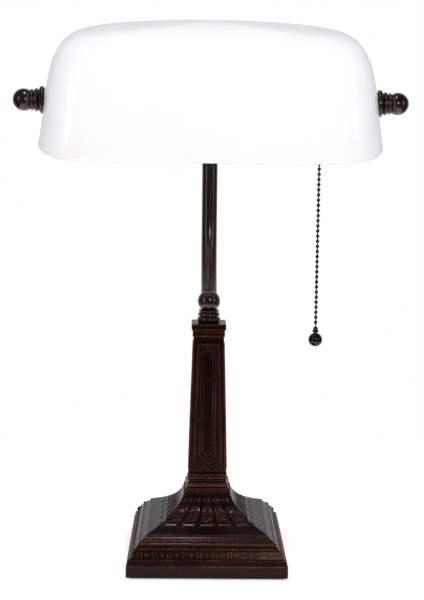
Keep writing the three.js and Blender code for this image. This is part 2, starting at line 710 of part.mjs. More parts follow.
function buildKnob(side, name) {
  const group = new THREE.Group();
  group.position.z = knobAxisHeight;
  group.rotation.z = side > 0 ? 0 : Math.PI;
  lamp.add(group);
  const stemX = knobX + knobFlangeThickness;
  const ballX = stemX + knobBallOffset;
  const arc = new THREE.EllipseCurve(0, ballX, knobBallRadius, knobBallRadius, -0.48, Math.PI / 2);
  const bore = studRadius + boreGap;
  const boreEnd = knobX + knobBoreDepth;
  const knob = turnedX([
    [0, boreEnd],
    [bore, boreEnd],
    [bore, knobX],
    [knobFlangeRadius - 0.6, knobX],
    [knobFlangeRadius, knobX + 0.6],
    [knobFlangeRadius, stemX - 1],
    [knobNeckRadius, stemX + 0.4],
    [knobRingRadius, stemX + 1.8],
    [knobRingRadius, stemX + 2.8],
    [knobNeckRadius, stemX + 3.8],
    [knobRingRadius - 0.6, stemX + 4.8],
    [knobRingRadius - 0.6, stemX + 5.6],
    [knobNeckRadius - 0.4, stemX + 6.6],
    ...arc.getPoints(7).map(({ x, y }) => [Math.max(x, 0), y]),
  ]);
  place("knob_" + name, solid(knob), smoothBronze, group);

  const stud = turnedX([
    [0, studInnerX],
    [studRadius, studInnerX],
    [studRadius, shoulderX],
    [shoulderRadius, shoulderX],
    [shoulderRadius, shoulderX + shoulderLength],
    [studRadius, shoulderX + shoulderLength],
    [studRadius, boreEnd - faceGap - through],
    [0, boreEnd - faceGap - through],
  ], 16);
  place("stud_" + name, solid(stud), steel, group);
  const earNut = nut(studNutFlats, studRadius + boreGap, studNutX, studNutX + studNutThickness);
  place("stud_nut_" + name, earNut.rotate([0, 90, 0]), steel, group);
  const washer = (x, thickness) => ringX(washerRadius, studRadius + boreGap, x, x + thickness);
  place("inner_washer_" + name, solid(washer(innerWasherX, innerWasherThickness)), fibre, group);
  place("outer_washer_" + name, solid(washer(outerWasherX, outerWasherThickness)), fibre, group);
}

function buildSocket() {
  const axis = new THREE.Group();
  axis.position.z = knobAxisHeight;
  lamp.add(axis);
  const hubStart = capEndX - capHubThickness;
  const shoulderStart = capEndX - 6;
  const nippleHole = pipeRadius + boreGap;
  const inner = capRadius - capWall;
  const cap = turnedX([
    [inner, capMouthX],
    [capRadius, capMouthX],
    [capRadius, shoulderStart],
    [capRadius - 1.6, shoulderStart + 2.6],
    [capRadius - 5, shoulderStart + 4.8],
    [capHubRadius, capEndX],
    [nippleHole, capEndX],
    [nippleHole, hubStart],
    [capHubRadius - capWall, hubStart],
    [capRadius - 5.6, shoulderStart + 3.4],
    [inner - 1.4, shoulderStart + 1.6],
    [inner, shoulderStart],
    [inner, capMouthX],
  ]);
  const guideHole = rod(guideRadius + boreGap, -capRadius - through, -capRadius + 3 * guideInCap)
    .translate(chainX, 0, 0);
  place("socket_cap", cut(solid(cap), guideHole), brass, axis);
  const tubeAt = (name, outer, wall, from, length, material) =>
    place(name, solid(ringX(outer, outer - wall, from, from + length)), material, axis);
  tubeAt("socket_shell", shellOuterRadius, socketShellWall, shellMouthX, socketShellLength, brass);
  tubeAt("insulating_sleeve", sleeveOuterRadius, sleeveWall, shellMouthX + sleeveInset,
    socketShellLength - 2 * sleeveInset, whiteCard);
  tubeAt("screw_shell", screwShellRadius, screwShellWall, screwShellX, screwShellLength, brass);
  tubeAt("socket_nipple", pipeRadius, pipeRadius - pipeBore, capEndX - socketNippleInCap,
    socketNippleInCap + faceGap + strapThickness + socketNipplePast, steel);
  const nutX = lugOuterX + faceGap;
  const lockNut = nut(socketNutFlats, pipeRadius + boreGap, nutX, nutX + socketNutThickness);
  place("socket_nut", lockNut.rotate([0, 90, 0]), steel, axis);

  let body = solid(rodX(socketBodyRadius, socketBodyX, socketBodyEndX));
  for (const side of [1, -1]) {
    const y = side * (cheekInner + cheekThickness / 2);
    const reach = pivotX - socketBodyEndX + 1;
    body = body
      .add(solid(block(reach, cheekThickness, 2 * cheekRadius, pivotX - reach / 2, y, -leverDrop)))
      .add(solid(rod(cheekRadius, -cheekThickness / 2, cheekThickness / 2, 16)
        .rotateX(Math.PI / 2).translate(pivotX, y, -leverDrop)));
  }
  const pinHole = rod(pinRadius + boreGap, -socketBodyRadius, socketBodyRadius, 16)
    .rotateX(Math.PI / 2).translate(pivotX, 0, -leverDrop);
  place("socket_body", cut(body, pinHole), phenolic, axis);
  const contact = rodX(contactRadius, contactX, contactX + contactThickness, 16);
  place("centre_contact", solid(contact), brass, axis);
  for (const [side, name, material] of [[1, "hot", brass], [-1, "neutral", steel]]) {
    const x = socketBodyEndX + faceGap;
    const screw = rodX(terminalRadius, x, x + terminalLength, 12)
      .translate(0, side * terminalSpread, terminalRise);
    place("terminal_screw_" + name, solid(screw), material, axis);
  }
}

// A helix round +Y for the lever's return spring.
function springPath() {
  const helix = new THREE.Curve();
  helix.getPoint = (t) => {
    const angle = t * springTurns * 2 * Math.PI;
    return new THREE.Vector3(
      springRadius * Math.cos(angle), t * springTurns * springPitch, springRadius * Math.sin(angle));
  };
  return helix;
}

function buildSwitch() {
  const pivot = new THREE.Group();
  pivot.position.set(pivotX, 0, pivotZ);
  lamp.add(pivot);
  const across = (geometry) => geometry.rotateX(Math.PI / 2);
  const hub = across(rod(leverHubRadius, -leverHalfWidth, leverHalfWidth, 16));
  const reach = leverArm + leverPast;
  const arm = block(reach, 2 * leverHalfWidth, leverThickness, reach / 2, 0, 0);
  const slot = block(slotLength + through, 2 * slotHalfWidth, 4 * leverThickness,
    reach + through - (slotLength + through) / 2, 0, 0);
  const bore = across(rod(pinRadius + boreGap, -leverHalfWidth - through, leverHalfWidth + through, 16));
  place("switch_lever", cut(joined(hub, arm), slot, bore), brass, pivot);

  const cheekOuter = cheekInner + cheekThickness;
  const pin = across(rod(pinRadius, -cheekOuter - 0.5, cheekOuter + pinPast, 12)).rotateZ(Math.PI);
  place("lever_pin", solid(pin), steel, pivot);
  const spring = tube(springPath(), springWire, 0, 3, springTurns * 12)
    .translate(0, cheekOuter + springWire + faceGap, 0);
  place("return_spring", solid(spring), steel, pivot);

  const guide = turned([
    [guideBore, guideBottom],
    [guideMouthRadius - 0.5, guideBottom],
    [guideMouthRadius, guideBottom + 0.6],
    [guideMouthRadius - 0.6, guideBottom + 1.4],
    [guideRadius, guideBottom + 3.4],
    [guideRadius, guideTop],
    [guideBore, guideTop],
    [guideBore, guideBottom],
  ]);
  place("chain_guide", solid(guide.translate(chainX, 0, 0)), smoothBronze);
}

function buildChain() {
  const hang = new THREE.Group();
  hang.position.x = chainX;
  lamp.add(hang);
  const stem = joined(
    ball(topBeadRadius, topBeadZ, 12, 8),
    rod(stemRadius, swingZ, topBeadZ, 8),
    ball(beadRadius, swingZ, 10, 6));
  place("chain_stem", stem, gunmetal, hang);

  const linkTop = swingZ - beadRadius - faceGap;
  const link = joined(ball(beadRadius, linkZ, 10, 6), rod(beadNeckRadius, linkZ, linkTop, 6));
  place("chain_link", link, gunmetal, hang);

  const profile = [[0, chainBottom]];
  for (let i = chainBeads; i > 0; i--) {
    const middle = chainTop - (i - 0.5) * beadPitch;
    profile.push([beadNeckRadius, middle - beadPitch / 2 - (i === chainBeads ? chainTail : 0)]);
    profile.push([beadRadius, middle - beadRadius / 2]);
    profile.push([beadRadius, middle + beadRadius / 2]);
  }
  const top = linkZ - beadRadius - faceGap;
  profile.push([beadNeckRadius, top], [0, top]);
  place("pull_chain", solid(turned(profile, 6)), gunmetal, hang);

  const bellTop = chainBottom - faceGap;
  const bellBottom = bellTop - bellLength;
  const bell = turned([
    [0, bellBottom],
    [bellRadius, bellBottom],
    [bellRadius, bellBottom + 1.2],
    [bellRadius * 0.62, bellTop - 0.8],
    [bellRadius * 0.5, bellTop],
    [0, bellTop],
  ], 16);
  place("chain_bell", solid(bell), gunmetal, hang);
  place("chain_ball", solid(ball(endBallRadius, endBallZ, 16, 10)), gunmetal, hang);
}

function buildBulb() {
  const axis = new THREE.Group();
  axis.position.z = knobAxisHeight;
  lamp.add(axis);
  const shoulder = bulbCapX - faceGap;
  const tip = shoulder - bulbGlassLength;
  const skin = (inset) => {
    const radius = bulbRadius - inset;
    const dome = new THREE.EllipseCurve(0, tip + bulbRadius, radius, radius, -Math.PI / 2, 0);
    return [
      ...dome.getPoints(6).map(({ x, y }) => [Math.max(x, 0), y]),
      [radius, shoulder - bulbNeckLength - bulbTaperLength],
      [bulbNeckRadius - inset, shoulder - bulbNeckLength],
      [bulbNeckRadius - inset, shoulder],
    ];
  };
  place("bulb_glass", solid(turnedX([...skin(0), ...skin(bulbWall).reverse()])), frostedGlass, axis);
  const cap = turnedX([
    [0, bulbCapX],
    [bulbCapRadius, bulbCapX],
    [bulbCapRadius, bulbCapEndX - 4],
    [bulbContactRadius + 1, bulbCapEndX],
    [0, bulbCapEndX],
  ]);
  place("bulb_cap", solid(cap), aluminium, axis);
  const contact = rodX(bulbContactRadius, bulbCapEndX, bulbCapEndX + bulbContactLength, 12);
  place("bulb_contact", solid(contact), brass, axis);
}

// The lead, held all the way from the base's bushing to the socket's terminals.
function buildLead() {
  const up = (z) => new THREE.Vector3(0, 0, z);
  const at = (x, y, z) => new THREE.Vector3(x, y, z);
  const floor = feltThickness + 2 * leadRadius + faceGap;
  const arm = armPath(ballRadius * 0.7);
  const overNut = strapTop + topNipplePast;
  const nippleEndX = capEndX + faceGap + strapThickness + socketNipplePast;
  const dropX = (nippleEndX + studInnerX) / 2 + faceGap;
  const route = [
    at(0, baseHalfWidth + faceGap + bushingFlange - 0.5, bushingHeight),
    at(0, baseHalfWidth - bushingLength, bushingHeight),
    at(0, baseHalfWidth / 2, floor + 0.6),
    at(0, 10, floor),
    at(0, 4.5, floor + 0.4),
    at(0, 1, floor + 2.6),
    up(rodBottom + 3),
    up(shaftBottom),
    up((shaftBottom + shaftTop) / 2),
    up(shaftTop),
    up(ballCentre - 5),
    up(ballCentre - 1.5),
    ...arm.getSpacedPoints(9).slice(0, 9),
    at(0, armReach, armTop),
    at(0, armReach, overNut - 1),
    at(2, armReach - 1, overNut + 3),
    at(lugInnerX * 0.25, armReach * 0.85, overNut + 1),
    at(lugInnerX * 0.6, armReach * 0.75, strapTop),
    at(lugInnerX - 6, armReach * 0.65, strapBottom - 1),
    at(dropX - 1.5, strapHalfWidth + 5, strapBottom - 4),
    at(dropX, 2.5, knobAxisHeight + 10),
    at(dropX, 0, knobAxisHeight + 5),
    at(dropX - 1, 0, knobAxisHeight + 1.7),
    at(nippleEndX - 1, 0, knobAxisHeight),
    at(capEndX - 4, 0, knobAxisHeight),
    at(chainX, 0, knobAxisHeight + 1),
    at(socketBodyEndX + 2.6, 0, knobAxisHeight + terminalRise),
  ];
  const path = new THREE.CatmullRomCurve3(route);
  // Equal steps between the route's points, so that the tight bends get short ones.
  path.getPointAt = path.getPoint;
  path.getTangentAt = path.getTangent;
  const steps = leadStepsPerPoint * (route.length - 1);
  place("lamp_lead", solid(tube(path, leadRadius, 0, leadSides / 2, steps)), blackPlastic);
}

buildBase();
buildColumn();
buildArm();
buildBracket();
buildShade();
buildKnob(1, "right");
buildKnob(-1, "left");
buildSocket();
buildSwitch();
buildChain();
buildBulb();
buildLead();

export default lamp;
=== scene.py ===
# %% [markdown]
# # A banker desk lamp
#
# The lamp's sizes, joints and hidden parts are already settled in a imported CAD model. This lesson loads
# that model as a fixed frame and then makes each piece that the eye meets: the castings with their leaves
# and borders, the turned fittings, the bent tube, the opal glass and the bead chain. Every piece rides on
# the body that moves it, so the shade still tilts and the chain still swings.

# %% Load the frame
import json
import math
import bmesh
import bpy
from mathutils import Matrix, Vector


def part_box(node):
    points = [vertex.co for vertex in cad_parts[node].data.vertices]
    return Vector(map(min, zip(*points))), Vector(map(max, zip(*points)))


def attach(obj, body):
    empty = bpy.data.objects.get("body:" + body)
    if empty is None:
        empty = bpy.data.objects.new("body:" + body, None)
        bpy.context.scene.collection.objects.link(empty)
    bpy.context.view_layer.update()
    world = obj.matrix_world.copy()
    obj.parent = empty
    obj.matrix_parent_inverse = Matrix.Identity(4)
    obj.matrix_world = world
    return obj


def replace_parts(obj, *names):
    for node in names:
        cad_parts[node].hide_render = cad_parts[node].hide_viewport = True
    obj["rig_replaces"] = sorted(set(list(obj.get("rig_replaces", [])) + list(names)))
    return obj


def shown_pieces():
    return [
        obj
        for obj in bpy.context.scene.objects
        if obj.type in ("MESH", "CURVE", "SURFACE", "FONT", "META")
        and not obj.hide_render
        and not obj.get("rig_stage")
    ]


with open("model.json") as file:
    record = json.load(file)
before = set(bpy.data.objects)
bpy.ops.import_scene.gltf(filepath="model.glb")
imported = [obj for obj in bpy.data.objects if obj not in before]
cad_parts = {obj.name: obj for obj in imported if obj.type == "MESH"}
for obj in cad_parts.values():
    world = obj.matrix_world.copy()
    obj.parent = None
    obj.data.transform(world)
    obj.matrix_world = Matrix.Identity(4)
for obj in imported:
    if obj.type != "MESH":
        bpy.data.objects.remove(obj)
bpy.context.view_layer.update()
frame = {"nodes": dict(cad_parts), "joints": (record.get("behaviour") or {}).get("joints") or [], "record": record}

MM = 0.001

# %% [markdown]
# ## Camera
#
# The camera stands about three quarters of a metre in front of the lamp and looks a little down on it. A
# slightly long lens keeps the upright lines of the column nearly parallel, and a nearer place with a wide
# lens would make the shade swell towards the eye.

# %% Camera
CAMERA_PLACE = Vector((-8.4, -763.4, 273.7)) * MM
CAMERA_PITCH = math.radians(-7.43)
CAMERA_YAW = math.radians(-0.78)
CAMERA_ROLL = math.radians(-0.65)
LENS = 69.4
level = Matrix.Rotation(math.pi / 2, 3, "X")
turn = Matrix.Rotation(CAMERA_YAW, 3, "Z") @ Matrix.Rotation(CAMERA_PITCH, 3, "X")
turn = turn @ Matrix.Rotation(CAMERA_ROLL, 3, "Y") @ level
bpy.ops.object.camera_add(location=CAMERA_PLACE, rotation=turn.to_euler())
camera = bpy.context.object
camera.data.lens = LENS
camera.data.clip_start = 10 * MM
bpy.context.scene.camera = camera

# %% [markdown]
# ## Colour and nodes
#
# Each finish is a small net of nodes. These helpers keep a net short enough to read: one starts a material
# with the values that are even all over, one adds a node and links its inputs, and one turns the size of a
# mark into a noise scale. Colours are written as hex values, the way a colour picker shows them, and made
# linear here.

# %% Colour and nodes
def linear(hex_colour):
    """The linear colour that a shader works in, from an sRGB hex value."""
    shares = [int(hex_colour[i:i + 2], 16) / 255 for i in (1, 3, 5)]
    curve = [s / 12.92 if s <= 0.04045 else ((s + 0.055) / 1.055) ** 2.4 for s in shares]
    return (*curve, 1)


def add(material, kind, inputs=None, **settings):
    """Adds one node: settings are its options, and an input that is a socket is linked."""
    tree = material.node_tree
    made = tree.nodes.new(kind)
    for name, value in settings.items():
        setattr(made, name, value)
    for name, value in (inputs or {}).items():
        if isinstance(value, bpy.types.NodeSocket):
            tree.links.new(value, made.inputs[name])
        else:
            made.inputs[name].default_value = value
    return made


def started(name, **shader_values):
    """A new material and its Principled shader, with the values that are the same all over."""
    material = bpy.data.materials.new(name)
    material.use_nodes = True
    shader = material.node_tree.nodes["Principled BSDF"]
    for socket, value in shader_values.items():
        shader.inputs[socket.replace("_", " ")].default_value = value
    return material, shader


def link(material, output, socket):
    """Links a node's output to a socket of the shader."""
    material.node_tree.links.new(output, socket)


def per_mm(size):
    """A noise scale whose marks are about this many millimetres across."""
    return 1 / (size * MM)


# %% [markdown]
# ## Floor, surround and soft boxes
#
# A dark lamp on white needs two things: an even white surround, so that the glass stays white, and a few
# bright soft boxes, because dark polished metal only shows what it mirrors. One tall box on each side draws
# the thin stripes down the tube, a small one in front puts a spark on the upright and round parts, and a
# small one overhead lights the leaves. The metal mirrors a dimmer surround than the eye sees, so it stays
# dark.

# %% Floor, surround and soft boxes
scene = bpy.context.scene
scene.view_settings.view_transform = "Standard"
world = bpy.data.worlds.new("white_surround")
world.use_nodes = True
FRONT_MIRRORED = 0.07  # what the metal mirrors from in front, between the soft boxes
BACK_MIRRORED = 0.55  # and from the white backdrop behind
FILL = 0.77  # soft light from all round, on the glass above all
surround = world.node_tree.nodes["Background"]
surround.inputs["Color"].default_value = linear("#ffffff")
direction = add(world, "ShaderNodeTexCoord").outputs["Generated"]
depth = add(world, "ShaderNodeSeparateXYZ", {"Vector": direction}).outputs["Y"]
mirrored = add(world, "ShaderNodeMapRange", {"Value": depth, "From Min": 0.1, "From Max": 0.9,
                                             "To Min": FRONT_MIRRORED, "To Max": BACK_MIRRORED})
path = add(world, "ShaderNodeLightPath")
by_kind = add(world, "ShaderNodeMix", {"Factor": path.outputs["Is Diffuse Ray"],
                                       "A": mirrored.outputs["Result"], "B": FILL})
seen = add(world, "ShaderNodeMix", {"Factor": path.outputs["Is Camera Ray"],
                                    "A": by_kind.outputs["Result"], "B": 1.0})
link(world, seen.outputs["Result"], surround.inputs["Strength"])
scene.world = world

PAPER_GLOW = 0.45
PAPER_SIDE = 620 * MM
paper, paper_shader = started("white_backdrop_paper", Roughness=0.9)
paper_shader.inputs["Base Color"].default_value = linear("#f4f4f4")
paper_shader.inputs["Emission Color"].default_value = linear("#ffffff")
paper_shader.inputs["Emission Strength"].default_value = PAPER_GLOW
bpy.ops.mesh.primitive_plane_add(size=PAPER_SIDE, location=(0, 0, -0.2 * MM))
floor = bpy.context.object
floor.name = "floor"
floor.data.materials.append(paper)
floor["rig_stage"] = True


def soft_box(name, place, aim, size, watts):
    """A rectangular area light at a place, turned to face a point; its size is width and height."""
    bpy.ops.object.light_add(type="AREA", location=place)
    box = bpy.context.object
    box.name = name
    box.data.shape = "RECTANGLE"
    box.data.size, box.data.size_y = size
    box.data.energy = watts
    box.rotation_mode = "QUATERNION"
    box.rotation_quaternion = (Vector(aim) - Vector(place)).to_track_quat("-Z", "Y")


soft_box("left_box", (-0.8, -0.55, 0.42), (0, 0, 0.18), (0.12, 0.6), 0.9)
soft_box("right_box", (0.85, -0.5, 0.42), (0, 0, 0.18), (0.1, 0.5), 0.7)
soft_box("front_box", (0.1, -0.46, 0.36), (0, -0.05, 0.26), (0.08, 0.08), 0.3)
soft_box("top_box", (-0.03, -0.19, 0.9), (0, -0.03, 0.05), (0.05, 0.025), 0.85)

# %% [markdown]
# ## Finishes
#
# The castings are zinc alloy, plated, blackened and then rubbed, so copper shows wherever a hand or a cloth
# would touch: ridges, corners and the tops of the ornament. Each casting carries an attribute called wear,
# high on its convex edges, and the finish lets copper through there in patches.

# %% Blackened bronze on a casting
def rubbed_bronze():
    """Oil-rubbed bronze over a sand-textured casting: nearly black, satin, with copper on worn edges."""
    material, shader = started("oil_rubbed_bronze_casting", Metallic=0.6, Specular_IOR_Level=0.12,
                               Coat_Weight=0.12, Coat_Roughness=0.13)
    where = add(material, "ShaderNodeTexCoord").outputs["Object"]
    wear = add(material, "ShaderNodeAttribute", attribute_name="wear").outputs["Fac"]
    patches = add(material, "ShaderNodeTexNoise",
                  {"Vector": where, "Scale": per_mm(22), "Detail": 4.0, "Roughness": 0.6}).outputs["Fac"]
    streaks = add(material, "ShaderNodeTexNoise",
                  {"Vector": where, "Scale": per_mm(2.2), "Detail": 4.0, "Roughness": 0.7}).outputs["Fac"]
    upright = add(material, "ShaderNodeMapping", {"Vector": where, "Scale": (1, 1, 0.3)})
    strokes = add(material, "ShaderNodeTexNoise",
                  {"Vector": upright.outputs["Vector"], "Scale": per_mm(5), "Detail": 3.0}).outputs["Fac"]
    patchy = add(material, "ShaderNodeMapRange",
                 {"Value": patches, "From Min": 0.38, "From Max": 0.66, "To Min": 0.3, "To Max": 1.2})
    broken = add(material, "ShaderNodeMapRange",
                 {"Value": strokes, "From Min": 0.36, "From Max": 0.62, "To Min": 0.5, "To Max": 1.1})
    worn = add(material, "ShaderNodeMath", {0: wear, 1: patchy.outputs["Result"]}, operation="MULTIPLY")
    rubbed = add(material, "ShaderNodeMath", {0: worn.outputs[0], 1: broken.outputs["Result"]},
                 operation="MULTIPLY", use_clamp=True)
    ground = add(material, "ShaderNodeValToRGB", {"Fac": streaks})
    ground.color_ramp.elements[0].color = linear("#0b0706")
    ground.color_ramp.elements[1].color = linear("#2b1610")
    shown = add(material, "ShaderNodeMix",
                {0: rubbed.outputs[0], 6: ground.outputs["Color"], 7: linear("#9a4c38")}, data_type="RGBA")
    link(material, shown.outputs[2], shader.inputs["Base Color"])
    gloss = add(material, "ShaderNodeMapRange",
                {"Value": streaks, "From Min": 0.3, "From Max": 0.7, "To Min": 0.2, "To Max": 0.36})
    link(material, gloss.outputs["Result"], shader.inputs["Roughness"])
    grain = add(material, "ShaderNodeTexNoise",
                {"Vector": where, "Scale": per_mm(0.7), "Detail": 4.0, "Roughness": 0.6}).outputs["Fac"]
    swell = add(material, "ShaderNodeTexNoise",
                {"Vector": where, "Scale": per_mm(4), "Detail": 2.0}).outputs["Fac"]
    soft = add(material, "ShaderNodeBump", {"Height": swell, "Strength": 0.25, "Distance": 0.3 * MM})
    sandy = add(material, "ShaderNodeBump", {"Height": grain, "Strength": 0.35, "Distance": 0.08 * MM,
                                             "Normal": soft.outputs["Normal"]})
    link(material, sandy.outputs["Normal"], shader.inputs["Normal"])
    link(material, soft.outputs["Normal"], shader.inputs["Coat Normal"])
    return material


# %% [markdown]
# ## Smooth finishes
#
# The turned brass, the tube and the hidden fittings are smooth but never quite even: lacquer pools, plating
# clouds and a buff leaves its marks. One recipe of two near colours, a drifting gloss and a faint ripple
# serves them all. Only the opal glass needs its own, because light goes a little way into it before it
# comes back.

# %% Smooth finishes
def polished(name, dark, light, mark, roughness, spread, metallic, bump=0.02, coat=0.0):
    """A smooth finish: two near colours in slow clouds, with gloss and a faint waviness that vary too."""
    material, shader = started(name, Metallic=metallic, Coat_Weight=coat, Coat_Roughness=0.2)
    where = add(material, "ShaderNodeTexCoord").outputs["Object"]
    clouds = add(material, "ShaderNodeTexNoise",
                 {"Vector": where, "Scale": per_mm(mark), "Detail": 4.0, "Roughness": 0.55}).outputs["Fac"]
    tone = add(material, "ShaderNodeValToRGB", {"Fac": clouds})
    tone.color_ramp.elements[0].position = 0.3
    tone.color_ramp.elements[1].position = 0.7
    tone.color_ramp.elements[0].color = linear(dark)
    tone.color_ramp.elements[1].color = linear(light)
    link(material, tone.outputs["Color"], shader.inputs["Base Color"])
    gloss = add(material, "ShaderNodeMapRange",
                {"Value": clouds, "From Min": 0.3, "From Max": 0.7,
                 "To Min": roughness, "To Max": roughness + spread})
    link(material, gloss.outputs["Result"], shader.inputs["Roughness"])
    ripple = add(material, "ShaderNodeTexNoise",
                 {"Vector": where, "Scale": per_mm(mark / 6), "Detail": 3.0}).outputs["Fac"]
    wavy = add(material, "ShaderNodeBump", {"Height": ripple, "Strength": 0.3, "Distance": bump * MM})
    link(material, wavy.outputs["Normal"], shader.inputs["Normal"])
    return material


def opal():
    """Opal glass: milk-white through its body under a fire-polished skin, with painted shade that turns it greyer
    and bluer where the surface faces away from the eye.
    """
    material, shader = started("opal_glass", IOR=1.5, Roughness=0.22, Coat_Weight=0.2, Coat_Roughness=0.14,
                               Subsurface_Weight=0.15, Subsurface_Scale=4 * MM)
    where = add(material, "ShaderNodeTexCoord").outputs["Object"]
    milk = add(material, "ShaderNodeTexNoise",
               {"Vector": where, "Scale": per_mm(45), "Detail": 2.0}).outputs["Fac"]
    # Painted shade: the glass is painted greyer and bluer where its surface turns away from the eye, as if less
    # light fell there; the milk noise adds a random tone on top.
    edge = add(material, "ShaderNodeLayerWeight", {"Blend": 0.35}).outputs["Facing"]
    tone = add(material, "ShaderNodeMapRange",
               {"Value": milk, "From Min": 0.3, "From Max": 0.7, "To Min": 0.0, "To Max": 0.25})
    painted_shade_and_milk = add(material, "ShaderNodeMath", {0: edge, 1: tone.outputs["Result"]},
               operation="ADD", use_clamp=True)
    body = add(material, "ShaderNodeMix",
               {0: painted_shade_and_milk.outputs[0], 6: linear("#fdfcfd"), 7: linear("#efeef5")}, data_type="RGBA")
    link(material, body.outputs[2], shader.inputs["Base Color"])
    flow = add(material, "ShaderNodeTexNoise",
               {"Vector": where, "Scale": per_mm(30), "Detail": 1.0}).outputs["Fac"]
    pressed = add(material, "ShaderNodeBump", {"Height": flow, "Strength": 0.15, "Distance": 0.5 * MM})
    link(material, pressed.outputs["Normal"], shader.inputs["Normal"])
    return material


FINISHES = {
    "cast_bronze": rubbed_bronze(),
    "smooth_bronze": polished("lacquered_dark_bronze", "#27140e", "#40231b", 9, 0.22, 0.06, 0.75,
                              bump=0.002, coat=0.9),
    "gunmetal": polished("black_nickel", "#262523", "#4a4641", 2, 0.06, 0.05, 1.0),
    "opal_glass": opal(),
    "frosted_glass": polished("frosted_bulb_glass", "#f2efe8", "#fbfaf6", 12, 0.35, 0.1, 0.0),
    "brass": polished("spun_brass", "#8d6a2f", "#b48f4c", 5, 0.24, 0.16, 1.0, bump=0.03),
    "steel": polished("zinc_plated_steel", "#8a8d90", "#b3b6b8", 3, 0.3, 0.18, 1.0, bump=0.03),
    "iron_weight": polished("rough_cast_iron", "#2c2c2d", "#47474a", 2, 0.6, 0.2, 0.7, bump=0.3),
    "felt": polished("wool_felt", "#191b17", "#2c2e28", 0.8, 0.9, 0.08, 0.0, bump=0.6),
    "fibre": polished("vulcanised_fibre", "#231b18", "#362a25", 1.5, 0.7, 0.15, 0.0, bump=0.1),
    "phenolic": polished("moulded_phenolic", "#141212", "#241f1e", 4, 0.4, 0.12, 0.0),
    "card": polished("waxed_card", "#c9bf9f", "#ded6bd", 1.5, 0.7, 0.15, 0.0, bump=0.1),
    "black_plastic": polished("moulded_black_nylon", "#101010", "#1c1c1d", 2, 0.38, 0.12, 0.0),
    "aluminium": polished("drawn_aluminium", "#b3b5b7", "#d0d2d3", 3, 0.28, 0.12, 1.0),
}
slot_of = {part["node"]: part["material_slot"] for part in frame["record"]["subparts"]}
bodies = frame["record"]["behaviour"]["bodies"]
body_of = {node: body for body, nodes in bodies.items() for node in nodes}

# %% [markdown]
# ## Tools of the bench
#
# Most of this lamp is made from loops: a ring of edges is drawn up through the sizes of an outline, as a
# potter draws up clay or a founder stacks a pattern. A round ring gives a turned piece, a square ring a
# stepped casting, and a long soft-cornered ring the glass.

# %% Rings drawn up into a piece
POLE = 0.004 * MM  # a ring this small is closed to a point


def begin(ring, sides, size):
    """Adds the first loop of edges, round or square, and leaves it selected in edit mode."""
    bpy.ops.object.select_all(action="DESELECT")
    if ring == "round":
        bpy.ops.mesh.primitive_circle_add(vertices=sides, radius=size[0], location=(0, 0, 0))
    else:
        bpy.ops.mesh.primitive_plane_add(size=2 * size[0], location=(0, 0, 0))
    bpy.ops.object.mode_set(mode="EDIT")
    bpy.ops.mesh.select_all(action="SELECT")
    if ring == "square":
        bpy.ops.mesh.delete(type="ONLY_FACE")
        bpy.ops.mesh.select_all(action="SELECT")
        bpy.ops.mesh.subdivide(number_cuts=sides - 1)
    bpy.ops.transform.translate(value=(0, 0, size[2]))


def draw_up(rings):
    """Extrudes the selected loop through rings of half-width, half-depth and height."""
    for (x0, y0, z0), (x1, y1, z1) in zip(rings, rings[1:]):
        bpy.ops.mesh.extrude_edges_move(TRANSFORM_OT_translate={"value": (0, 0, z1 - z0)})
        bpy.ops.transform.resize(value=(x1 / x0, y1 / y0, 1), center_override=(0, 0, z1))


def close_up():
    """Closes poles and seams, faces the surface outwards and leaves edit mode."""
    bpy.ops.mesh.select_all(action="SELECT")
    bpy.ops.mesh.remove_doubles(threshold=2.5 * POLE)
    bpy.ops.mesh.normals_make_consistent(inside=False)
    bpy.ops.object.mode_set(mode="OBJECT")


def pick(piece):
    """Selects one piece alone and makes it active, as a click on it does."""
    bpy.ops.object.select_all(action="DESELECT")
    bpy.context.view_layer.objects.active = piece
    piece.select_set(True)


def apply_modifier(piece, kind, **settings):
    """Adds a modifier, sets it and applies it at once."""
    pick(piece)
    modifier = piece.modifiers.new(kind.title(), kind)
    for name, value in settings.items():
        setattr(modifier, name, value)
    bpy.ops.object.modifier_apply(modifier=modifier.name)


def soften(piece, width, angle=32, segments=2):
    """Breaks sharp edges by a width in millimetres."""
    apply_modifier(piece, "BEVEL", width=width * MM, segments=segments, limit_method="ANGLE",
                   angle_limit=math.radians(angle), use_clamp_overlap=True)


def smooth(piece, angle=40):
    """Shades a piece smooth, but for edges sharper than an angle in degrees."""
    pick(piece)
    bpy.ops.object.shade_smooth_by_angle(angle=math.radians(angle))


def settle(piece, location=(0, 0, 0), rotation=(0, 0, 0)):
    """Puts the place and turn of a piece into its mesh, so that its object stays at the origin."""
    pick(piece)
    piece.location, piece.rotation_euler = location, rotation
    bpy.ops.object.transform_apply(location=True, rotation=True, scale=True)


def finish_piece(piece, name, *nodes):
    """Names a piece, gives it the finish and body of the CAD nodes it stands for, and hides them."""
    piece.name = piece.data.name = name
    piece.data.materials.clear()
    piece.data.materials.append(FINISHES[slot_of[nodes[0]]])
    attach(piece, body_of[nodes[0]])
    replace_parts(piece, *nodes)
    return piece


def turned(outline, sides=64, soften_by=0.12):
    """A piece turned on a lathe about Z, from pairs of radius and height in millimetres."""
    rings = []
    for radius, height in outline:
        ring_radius = max(radius * MM, POLE)
        rings.append((ring_radius, ring_radius, height * MM))
    begin("round", sides, rings[0])
    draw_up(rings)
    close_up()
    piece = bpy.context.object
    if soften_by:
        soften(piece, soften_by)
    smooth(piece)
    return piece


def arc(radius, centre, start, end, steps):
    """Points of a round stretch of an outline: angles in degrees from straight up the axis."""
    turns = [math.radians(start + (end - start) * i / steps) for i in range(steps + 1)]
    return [(max(radius * math.sin(t), 0), centre + radius * math.cos(t)) for t in turns]


